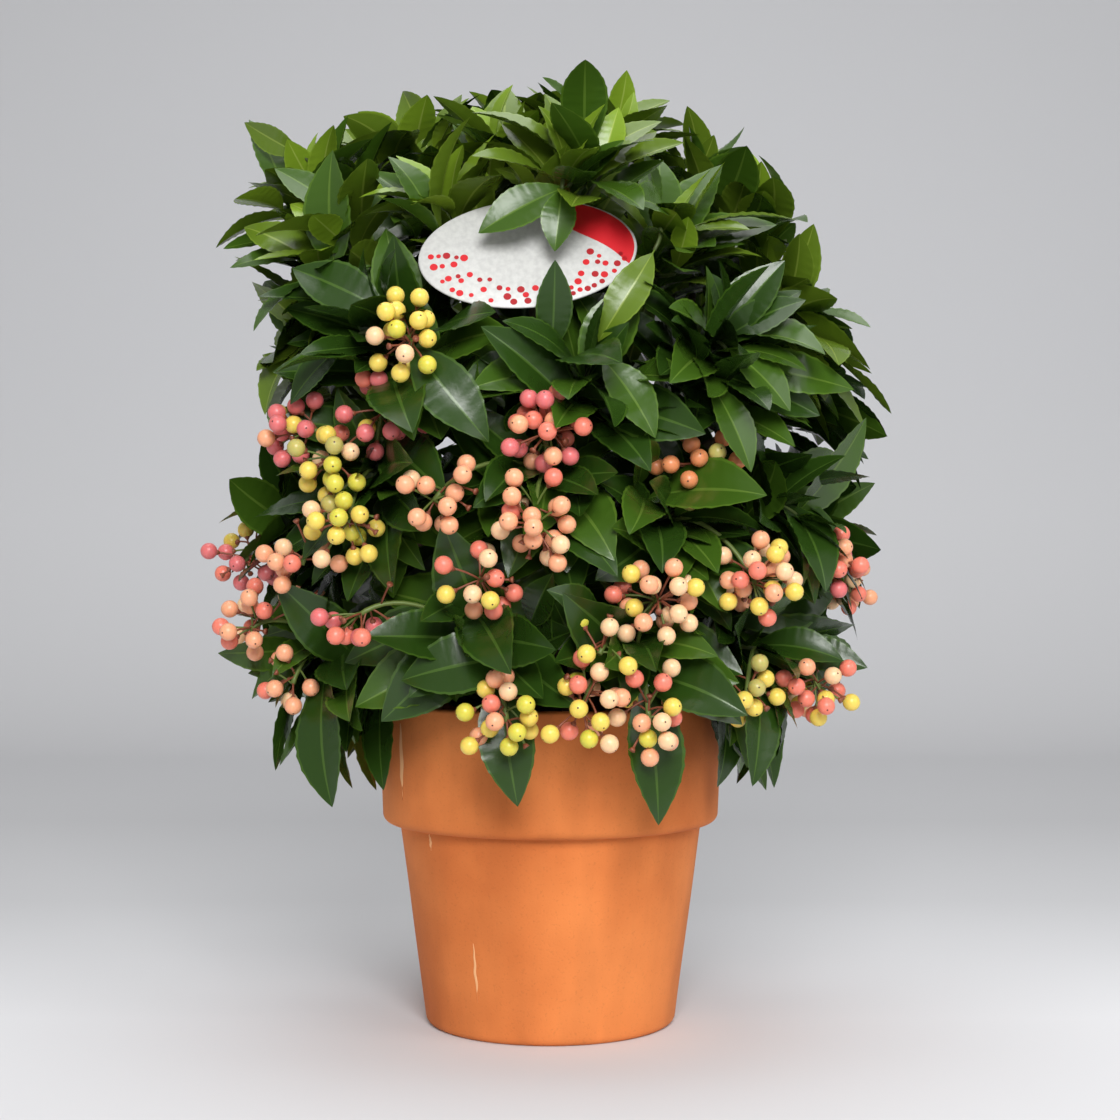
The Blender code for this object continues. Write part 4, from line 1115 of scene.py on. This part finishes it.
class LeafShape:
    """The outline and relief shared by all leaves, worked out once as arrays."""

    def __init__(self):
        share = np.linspace(0.0, 1.0, LEAF_ROWS + 1)
        blade = np.clip((share - PETIOLE_SHARE) / (1 - PETIOLE_SHARE), 0.0, 1.0)
        outline = np.sin(np.pi * blade) ** LEAF_FULLNESS * (1 - TIP_TAPER * blade**TIP_TAPER_POWER)
        outline = np.maximum(outline, PETIOLE_WIDTH * (1 - blade))[:, None]
        blade = blade[:, None]
        columns = np.array(LEAF_COLUMNS)
        out = np.abs(columns)[None, :]
        edge = out**EDGE_POWER
        lobes = LOBE_DEPTH * np.cos(math.tau * LEAF_LOBES * blade)
        ripple = LOBE_RIPPLE * np.sin(math.tau * LEAF_LOBES * blade) * edge
        veins = np.cos(math.tau * VEIN_COUNT * (blade - VEIN_SLANT * out)) * out * (1 - out) * 4
        self.share = share
        self.across = columns[None, :] * outline * (1 + lobes * edge)
        self.relief = (ripple + VEIN_RELIEF * veins - MIDRIB_DEPTH * (out < MIDRIB_REACH)) * outline
        self.fold = out * outline
        width = len(columns)
        self.faces = []
        self.parts = []
        for row in range(LEAF_ROWS):
            for column in range(width - 1):
                a = row * width + column
                self.faces.append((a, a + 1, a + width + 1, a + width))
                side = abs(columns[column] + columns[column + 1]) / 2
                self.parts.append(0 if side < MIDRIB_EDGE else 2 if side > MARGIN_START else 1)

    def add(self, builder, tint, vectors, length, width, bend, fold, twist):
        """Adds a leaf that arches over its chord, folded and twisted along its length."""
        root, along, side, face = [np.array(vector) for vector in vectors]
        angles = bend * (0.5 - self.share)
        middles = (angles[1:] + angles[:-1]) / 2
        ahead = np.concatenate([[0.0], np.cumsum(np.cos(middles)) / LEAF_ROWS])
        rise = np.concatenate([[0.0], np.cumsum(np.sin(middles)) / LEAF_ROWS])
        turn = twist * (self.share - TWIST_START)[:, None]
        spread = self.across * width / 2
        lift = self.relief + self.fold * fold * width / 2
        x = spread * np.cos(turn) - lift * np.sin(turn)
        z = spread * np.sin(turn) + lift * np.cos(turn)
        points = root[None, None, :] + along * (ahead * length)[:, None, None]
        points = points + face * (rise * length)[:, None, None]
        points = points + side * (x * length)[:, :, None]
        points = points + face * (z * length)[:, :, None]
        builder.add(points.reshape(-1, 3), self.faces, [tint * 3 + part for part in self.parts])


def leaf_proxy(root, tip, side, face, width, rise):
    """A low four-sided pyramid that stands for a leaf in the tests."""
    length = (tip - root).length
    middle = root.lerp(tip, 0.5) + face * rise
    half = side * width / 2
    points = [root, middle - half, tip, middle + half, middle + face * length * PROXY_RIDGE]
    return points, [(0, 4, 1), (1, 4, 2), (2, 4, 3), (3, 4, 0), (0, 1, 3), (1, 2, 3)]


def placed_frame(leaf):
    """A placed leaf's root, tip, side and upper face, which looks outwards and up."""
    root = Vector(leaf.root)
    tip = Vector(leaf.tip)
    along = (tip - root).normalized()
    side = along.cross(level(root).normalized() + UP * PLACED_LIFT).normalized()
    return root, tip, side, side.cross(along)


def place_leaves(crown, shape, builder, twigs):
    """The single leaves, each joined by a thin twig to the nearest shoot."""
    rng = random.Random(PLACED_SEED)
    steps = PLACED_TWIG_STEPS
    radius = TWIG_RADIUS * PLACED_TWIG
    for leaf in PLACED_LEAVES:
        root, tip, side, face = placed_frame(leaf)
        owner, start = crown.nearest(root)
        reach = (root - start).length
        along = (tip - root).normalized()
        first = start.lerp(root, PLACED_TWIG_TURN[0]) + UP * (PLACED_TWIG_LIFT * reach)
        second = root - along * reach * PLACED_TWIG_TURN[1]
        path = cubic(start, first, second, root + along * PLACED_TWIG_END, steps)
        twigs.add(*sweep(path, [radius] * (steps + 1), PLACED_TWIG_SIDES), 0)
        crown.keep(sweep(path[::2], [radius] * (steps // 2 + 1), KEPT_SIDES), owner)
        bend = math.radians(PLACED_BEND * rng.uniform(*PLACED_UNEVEN))
        twist = math.radians(rng.gauss(0.0, PLACED_TWIST))
        length = (tip - root).length
        shape.add(builder, leaf.tint, (root, along, side, face), length, leaf.width, bend, PLACED_FOLD, twist)


def scattered(rng, spread):
    return Vector([rng.gauss(0.0, spread) for _ in range(3)])


def turned(axis, side, turn):
    """A side vector turned about an axis."""
    return side * math.cos(turn) + axis.cross(side) * math.sin(turn)


class Grower:
    """Grows one shoot's twigs and leaves by the seeded rule."""

    def __init__(self, crown, shape, shoot, index):
        self.crown = crown
        self.shape = shape
        self.shoot = shoot
        self.random = random.Random(SHOOT_SEEDS + index)
        self.path = crown.paths[shoot.name]
        self.planes = crown.planes(shoot.name)
        self.heart = Vector(shoot.heart)
        self.outward = heading_of(self.heart)
        drop = (DROOP_TOP_HEIGHT - self.heart.z) / (DROOP_TOP_HEIGHT - DROOP_FOOT_HEIGHT)
        self.droop = LEAF_DROOP * min(max(drop, 0.0), 1.0)

    def outside(self, point):
        """True if a point is out of the crown, in front of the pot's band or in another's space."""
        x, y, z = point
        low, high = LEFT_WAIST_HEIGHTS
        above = max(z - RIGHT_SHOULDER_HEIGHT, 0.0)
        return (
            not CROWN_FOOT < z < CROWN_TOP
            or math.hypot(x, y) > CROWN_RADIUS
            or x < -LEFT_REACH
            or (low < z < high and x < -LEFT_WAIST_REACH)
            or (z < RIGHT_FOOT_HEIGHT and x > RIGHT_FOOT_REACH)
            or (z < BAND_CLEAR_HEIGHT and y < 0 and abs(x) < BAND_CLEAR_REACH)
            or x > RIGHT_SHOULDER_REACH - above * RIGHT_SHOULDER_SLOPE
            or any(normal.dot(point) > offset for normal, offset in self.planes)
        )

    def fits(self, piece):
        if any(self.outside(point) for point in piece[0]):
            return False
        return self.crown.clear(piece, self.shoot.name)

    def tint(self, share):
        """Which blade colour a leaf has: young at the top's tips, olive high up, dark below."""
        if self.heart.z > YOUNG_HEIGHT and share < YOUNG_SHARE and self.random.random() < YOUNG_ODDS:
            return 3
        if self.heart.z > OLIVE_HEIGHT:
            return 2 if self.random.random() < OLIVE_ODDS else 1
        return 1 if self.random.random() < GREEN_ODDS else 0

    def grow_leaf(self, builder, root, ahead, length, share):
        """Tries a leaf, each time more loosely, until one touches nothing."""
        for attempt in range(LEAF_TRIES):
            late = attempt / (LEAF_TRIES - 1)
            turn = scattered(self.random, LEAF_SCATTER + LATE_SCATTER * late)
            turn += self.outward * LATE_OUTWARD * late
            along = (ahead + turn - UP * self.droop).normalized()
            size = length * (1 - (1 - LEAF_SHORTEST) * late)
            upper = self.outward + UP * UPPER_LIFT + scattered(self.random, UPPER_SCATTER)
            side = along.cross(upper)
            if side.length < LEAST_SIDE:
                continue
            side.normalize()
            face = side.cross(along)
            tip = root + along * size
            width = self.random.uniform(*LEAF_WIDTH)
            bend = math.radians(self.random.uniform(*LEAF_BEND))
            rise = size * bend / RISE_DIVISOR
            near = root.lerp(tip, ROOT_SHARE)
            proxy = leaf_proxy(near, tip, side, face, width * size * PROXY_WIDTH, rise)
            if not self.fits(proxy):
                continue
            whole = leaf_proxy(root, tip, side, face, width * size, rise)
            if tree_of([whole]).overlap(self.crown.card):
                continue
            self.crown.keep(proxy, f"{self.shoot.name} leaf")
            fold = self.random.uniform(*LEAF_FOLD)
            twist = math.radians(self.random.gauss(0.0, LEAF_TWIST))
            tint = self.tint(share)
            self.shape.add(builder, tint, (root, along, side, face), size, width, bend, fold, twist)
            return True
        return False

    def grow_leaves(self, builder, path, leafy, count, first_turn):
        """Leaves in a spiral, from small ones ahead at the tip to large ones aside below it."""
        whole = path_length(path)
        made = 0
        for index in range(count):
            share = (index + 0.5) / count
            below = min(leafy, whole - FOOT_MARGIN) * share**LEAF_CROWDING
            root, axis = point_along(path, whole - TIP_MARGIN - below)
            side = axis.cross(UP)
            if side.length < LEAST_LEVEL_SIDE:
                side = axis.cross(Vector((0.0, 1.0, 0.0)))
            side.normalize()
            around = turned(axis, side, math.radians(first_turn) + index * GOLDEN_TURN)
            spread = math.radians(TIP_SPREAD + (FOOT_SPREAD - TIP_SPREAD) * share**SPREAD_POWER)
            ahead = axis * math.cos(spread) + around * math.sin(spread)
            length = self.shoot.leaf_length
            grown = min(1.0, share * GROWING_RATE)
            length *= TIP_LEAF_SHARE + (FOOT_LEAF_SHARE - TIP_LEAF_SHARE) * grown
            length *= self.random.uniform(*LENGTH_UNEVEN)
            made += self.grow_leaf(builder, root, ahead, length, share)
        return made

    def grow_stem(self, twigs):
        path = smooth_path(self.path, SHOOT_STEPS)
        radii = [SHOOT_RADIUS * (1 - SHOOT_TAPER * i / SHOOT_STEPS) for i in range(SHOOT_STEPS + 1)]
        twigs.add(*sweep(path, radii, SHOOT_SIDES, SHOOT_RELIEF), 0)
        kept = sweep(self.path, [SHOOT_RADIUS] * len(self.path), KEPT_SIDES)
        self.crown.keep(kept, self.shoot.name)

    def grow_side_twigs(self, builder, twigs):
        made = 0
        leafy = TWIG_LENGTH * TWIG_LEAFY_SHARE
        radii = [TWIG_RADIUS * share for share in TWIG_TAPER]
        whole = path_length(self.path)
        for number, below in enumerate(TWIG_BELOW_HEART):
            root, axis = point_along(self.path, whole - below)
            for attempt in range(LEAF_TRIES):
                turn = math.radians(self.shoot.turn + TWIG_TURN * number + TWIG_TRY_TURN * attempt)
                around = turned(axis, axis.orthogonal().normalized(), turn)
                tip = root + (around + axis * TWIG_FORWARD).normalized() * TWIG_LENGTH
                path = [root, root.lerp(tip, 0.5) + around * TWIG_ARCH, tip]
                piece = sweep(path, radii, TWIG_SIDES)
                if self.fits(piece):
                    twigs.add(*piece, 0)
                    self.crown.keep(piece, self.shoot.name)
                    made += self.grow_leaves(builder, path, leafy, TWIG_LEAVES, self.shoot.turn)
                    break
        return made


def berry_mesh(centre, way):
    """Points, faces and parts of a round berry with a small dark tip facing away from its stalk."""
    side = way.orthogonal().normalized()
    up = way.cross(side)
    points = [centre + way * BERRY_RADIUS]
    for polar in BERRY_ANGLES:
        flat = BERRY_RADIUS * math.sin(math.radians(polar))
        height = BERRY_RADIUS * math.cos(math.radians(polar))
        for across, above in circle(1.0, BERRY_SEGMENTS):
            points.append(centre + way * height + (side * across + up * above) * flat)
    points.append(centre - way * BERRY_RADIUS)
    last = len(points) - 1
    corners = [(corner, (corner + 1) % BERRY_SEGMENTS) for corner in range(BERRY_SEGMENTS)]
    faces = [(0, 1 + corner, 1 + after) for corner, after in corners]
    for ring in range(len(BERRY_ANGLES) - 1):
        first = 1 + ring * BERRY_SEGMENTS
        faces += joined(first, first + BERRY_SEGMENTS, BERRY_SEGMENTS, flip=True)
    start = last - BERRY_SEGMENTS
    faces += [(start + corner, last, start + after) for corner, after in corners]
    return points, faces, [number < BERRY_SEGMENTS for number in range(len(faces))]


def grow_umbel(crown, number, umbel, berries, stalks, centres):
    """A stalk with pedicels fanned round its end, each with a calyx and most with a berry."""
    rng = random.Random(UMBEL_SEEDS + number)
    place = Vector(umbel.place)
    owner = min(crown.centres, key=lambda name: (crown.centres[name] - place).length)
    root = crown.nearest_on(owner, place)
    lift = UP * (PEDUNCLE_RISE * (place - root).length)
    turns = [root.lerp(place, turn) + lift for turn in STALK_TURNS]
    path = cubic(root, *turns, place, STALK_STEPS)
    shares = [step / STALK_STEPS for step in range(STALK_STEPS + 1)]
    radii = [PEDUNCLE_RADIUS * (1 + STALK_SWELL * share**STALK_SWELL_POWER) for share in shares]
    stalks.add(*sweep(path, radii, STALK_SIDES), 0)
    kept = path[::STALK_SKIP]
    crown.keep(sweep(kept, [PEDUNCLE_RADIUS] * len(kept), KEPT_SIDES), owner)
    whole = path_length(path)
    outward = level(place).normalized()
    colours = list(BERRY_COLOURS)
    wanted = umbel.berries + BARE_PEDICELS
    for _ in range(wanted * BERRY_TRIES):
        if wanted == 0:
            break
        start = point_along(path, whole - UMBEL_DEPTH * rng.random() ** 2)[0]
        way = scattered(rng, 1.0).normalized()
        way = (way + outward * UMBEL_OUTWARD - UP * UMBEL_DROOP).normalized()
        reach = PEDICEL_LENGTH * rng.uniform(*PEDICEL_SPREAD)
        centre = start + way * reach
        if math.hypot(centre.x, centre.y) > CROWN_RADIUS - BERRY_RADIUS:
            continue
        if any((centre - other).length < BERRY_SPACING * BERRY_RADIUS for other in centres):
            continue
        if min((point - centre).length for point in path) < BERRY_STALK_GAP * BERRY_RADIUS:
            continue
        if crown.guards.find_nearest(centre)[3] < BERRY_RADIUS * BERRY_GUARD_GAP:
            continue
        bare = wanted <= BARE_PEDICELS
        length = reach * BARE_SHARE if bare else reach - BERRY_RADIUS * BERRY_SINK
        sag = UP * (PEDICEL_SAG * rng.random())
        end = start + way * length
        stem = cubic(start, *[start.lerp(end, turn) + sag for turn in PEDICEL_TURNS], end, PEDICEL_STEPS)
        radii = [PEDICEL_RADIUS] * PEDICEL_STEPS + [PEDICEL_RADIUS * PEDICEL_FLARE]
        stalks.add(*sweep(stem, radii, PEDICEL_SIDES), 1 if rng.random() < RED_ODDS else 0)
        calyx = [end + way * CALYX_LENGTH * share for share in CALYX_PLACES]
        radii = [PEDICEL_RADIUS * CALYX_FOOT, CALYX_RADIUS * CALYX_FLARE, CALYX_RADIUS]
        stalks.add(*sweep(calyx, radii, STALK_SIDES), 1)
        wanted -= 1
        if bare:
            continue
        points, faces, tips = berry_mesh(centre, way)
        colour = colours.index(rng.choice(MIXES[umbel.mix]))
        berries.add(points, faces, [len(colours) if tip else colour for tip in tips])
        centres.append(centre)
        crown.keep(([centre + corner for corner in BALL[0]], BALL[1]), f"berry {owner}")


BALL = unit_ball(BERRY_RADIUS)


def all_umbels():
    umbels = list(UMBELS)
    for shoot in SHOOTS:
        if shoot.mix:
            heart = Vector(shoot.heart)
            place = heart + level(heart).normalized() * BACK_UMBEL_REACH - UP * BACK_UMBEL_DROP
            umbels.append(Umbel(tuple(place), BACK_UMBEL_BERRIES, shoot.mix))
    return umbels


def make_limbs(crown, bark):
    for name, (path, radii) in crown.limbs.items():
        builder = MeshBuilder()
        builder.add(*sweep(path, radii, BARK_SIDES, BARK_RELIEF), 0)
        limb = builder.object(f"bark_{name}", [bark])
        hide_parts(name)


def make_plant(materials):
    crown = Crown()
    shape = LeafShape()
    make_limbs(crown, materials["bark"])
    twigs = MeshBuilder()
    stalks = MeshBuilder()
    berries = MeshBuilder()
    growers = [Grower(crown, shape, shoot, index) for index, shoot in enumerate(SHOOTS)]
    for grower in growers:
        grower.grow_stem(twigs)
    centres = []
    for number, umbel in enumerate(all_umbels()):
        grow_umbel(crown, number, umbel, berries, stalks, centres)
    per_group = math.ceil(len(SHOOTS) / LEAF_GROUPS)
    leaves = 0
    for group in range(LEAF_GROUPS):
        builder = MeshBuilder()
        members = growers[group * per_group:(group + 1) * per_group]
        if group == 0:
            place_leaves(crown, shape, builder, twigs)
        for grower in members:
            made = grower.grow_leaves(builder, grower.path, SHOOT_LENGTH, MAIN_LEAVES, grower.shoot.turn)
            made += grower.grow_side_twigs(builder, twigs)
            leaves += made
            print(grower.shoot.name, "leaves", made)
        piece = builder.object(f"leaves_{group + 1}", materials["leaves"])
        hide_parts(*[grower.shoot.name for grower in members])
    for name, builder, made in (
        ("twigs", twigs, [materials["twig"]]),
        ("berry_stalks", stalks, materials["stalks"]),
        ("berries", berries, materials["berries"]),
    ):
        piece = builder.object(name, made)
    print("leaves", leaves, "berries", len(centres))


def ellipse_point(share, angle, height):
    """A point of the card at a share of its half width and height."""
    across = CARD_WIDTH / 2 * share * math.cos(angle)
    up = CARD_HEIGHT / 2 * share * math.sin(angle)
    return card_matrix() @ Vector((across, up, height))


def make_card(card, red, dark_red):
    """An oval card with rounded edges and a plain print of a crescent and loose round dots."""
    builder = MeshBuilder()
    half = CARD_THICKNESS / 2
    rings = ((0.0, 1.0), *CARD_EDGE, (0.0, -1.0))
    points = []
    for share, height in rings:
        for step in range(CARD_STEPS):
            points.append(ellipse_point(share, math.tau * step / CARD_STEPS, half * height))
    faces = []
    for ring in range(len(rings) - 1):
        faces += joined(ring * CARD_STEPS, (ring + 1) * CARD_STEPS, CARD_STEPS, flip=True)
    builder.add(points, faces, 0)
    proud = half + PRINT_PROUD
    crescent = []
    for step in range(CRESCENT_STEPS + 1):
        share = step / CRESCENT_STEPS
        angle = math.radians(CRESCENT_TURN[0] + CRESCENT_TURN[1] * share)
        width = CRESCENT_WIDTH * math.sin(math.pi * share) ** CRESCENT_FULLNESS
        for reach in (CRESCENT_OUTER, CRESCENT_OUTER - width):
            crescent.append(ellipse_point(reach, angle, proud))
    strip = [(2 * i, 2 * i + 1, 2 * i + 3, 2 * i + 2) for i in range(CRESCENT_STEPS)]
    builder.add(crescent, strip, 1)
    rng = random.Random(SEED)
    dots = []
    for step in range(DOT_TRIES):
        angle = math.radians(rng.uniform(*DOT_ANGLES))
        share = 1 - DOT_DEPTH * rng.random() ** 2 - DOT_MARGIN
        size = rng.uniform(*DOT_RADIUS)
        across = CARD_WIDTH / 2 * share * math.cos(angle)
        middle = Vector((across, CARD_HEIGHT / 2 * share * math.sin(angle), proud))
        if any((middle - other).length < size + reach + DOT_GAP for other, reach in dots):
            continue
        dots.append((middle, size))
        disc = [card_matrix() @ (middle + Vector((x, y, 0.0))) for x, y in circle(size, DOT_SIDES)]
        builder.add(disc, [tuple(range(DOT_SIDES))], 1 if step % 3 else 2)
    obj = builder.object("plant_label", [card, red, dark_red])
    obj.data.set_sharp_from_angle(angle=math.radians(CARD_SHARP_ANGLE))
    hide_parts("label_card")


def make_stake(plastic):
    builder = MeshBuilder()
    path = smooth_path(stake_path(), STAKE_STEPS)
    builder.add(*sweep(path, [STAKE_RADIUS] * (STAKE_STEPS + 1), STAKE_SIDES), 0)
    stake = builder.object("label_stick", [plastic])
    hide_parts("label_stake")


def make_stage():
    """A pale floor that bends up into a backdrop, whose tone changes softly along it as painted light and
    shade: a painted pool of light round the pot, painted shade before and behind it, and a wall painted
    lighter.
    """
    profile = [(FLOOR_FRONT, 0.0)]
    profile += arc((WALL_PLACE - WALL_BEND, WALL_BEND), WALL_BEND, -90, 0, BEND_STEPS)
    profile += [(WALL_PLACE, WALL_HEIGHT)]
    points = [(side, y, z) for side in (-FLOOR_HALF_WIDTH, FLOOR_HALF_WIDTH) for y, z in profile]
    count = len(profile)
    faces = [(i, i + count, i + count + 1, i + 1) for i in range(count - 1)]
    mesh = bpy.data.meshes.new("backdrop")
    mesh.from_pydata(points, [], faces)
    mesh.shade_smooth()
    stops = [(share, [tone * tint for tint in BACKDROP_TINT]) for share, tone in BACKDROP_PAINTED_LIGHT_TONES]
    pale = material("backdrop_painted_light", stops[-1][1], BACKDROP_ROUGHNESS)
    place = node(pale, "ShaderNodeTexCoord")
    split = node(pale, "ShaderNodeSeparateXYZ")
    blend = node(pale, "ShaderNodeMapRange")
    for socket, value in zip(("From Min", "From Max"), BACKDROP_REACH):
        blend.inputs[socket].default_value = value
    pale.node_tree.links.new(place.outputs["Object"], split.inputs["Vector"])
    pale.node_tree.links.new(split.outputs["Y"], blend.inputs["Value"])
    # Painted light and shade: the backdrop's colour follows its depth, not the lamps
    painted(pale, ramp_of(pale, blend.outputs["Result"], stops))
    object_of("backdrop", mesh, [pale], None)


def area_light(name, place, target, side, power):
    light = bpy.data.lights.new(name, "AREA")
    light.size = side
    light.energy = power
    obj = bpy.data.objects.new(name, light)
    obj.location = place
    obj.rotation_mode = "QUATERNION"
    obj.rotation_quaternion = (Vector(target) - Vector(place)).to_track_quat("-Z", "Y")
    bpy.context.scene.collection.objects.link(obj)


def make_lights():
    world = bpy.data.worlds.new("studio")
    world.use_nodes = True
    background = world.node_tree.nodes["Background"]
    background.inputs["Color"].default_value = WORLD_COLOUR
    background.inputs["Strength"].default_value = WORLD_STRENGTH
    bpy.context.scene.world = world
    bpy.context.scene.view_settings.view_transform = "Standard"
    for light in LIGHTS:
        area_light(*light)


def make_camera():
    data = bpy.data.cameras.new("camera")
    data.lens = CAMERA_LENS
    data.sensor_width = CAMERA_SENSOR
    camera = bpy.data.objects.new("camera", data)
    camera.location = CAMERA_PLACE
    camera.rotation_euler = (math.radians(90 + CAMERA_PITCH), 0.0, 0.0)
    bpy.context.scene.collection.objects.link(camera)
    bpy.context.scene.camera = camera


def make_materials():
    leaves = []
    for name, colours in LEAF_TINTS.items():
        for part, colour in zip(("midrib", "blade", "margin"), colours):
            leaves.append(foliage_material(f"leaf_{name}_{part}", colour, LEAF_ROUGHNESS))
    berries = [berry_material(name, colour) for name, colour in BERRY_COLOURS.items()]
    berries.append(material("berry_tip", *BERRY_TIP))
    stalks = [foliage_material("stalk_green", *STALK_GREEN), foliage_material("stalk_red", *STALK_RED)]
    return {
        "bark": grained_material("bark"),
        "leaves": leaves,
        "berries": berries,
        "twig": foliage_material("twig_green", *TWIG_GREEN),
        "stalks": stalks,
    }


def main():
    make_camera()
    make_stage()
    make_lights()
    make_pot(clay_material())
    make_drips(material("pale_slip", DRIP_COLOUR, CLAY_ROUGHNESS))
    make_soil(grained_material("soil"))
    red = material("print_red", PRINT_RED, PRINT_ROUGHNESS)
    dark_red = material("print_dark_red", PRINT_DARK_RED, PRINT_ROUGHNESS)
    make_card(grained_material("card"), red, dark_red)
    make_stake(grained_material("stake"))
    make_plant(make_materials())


main()
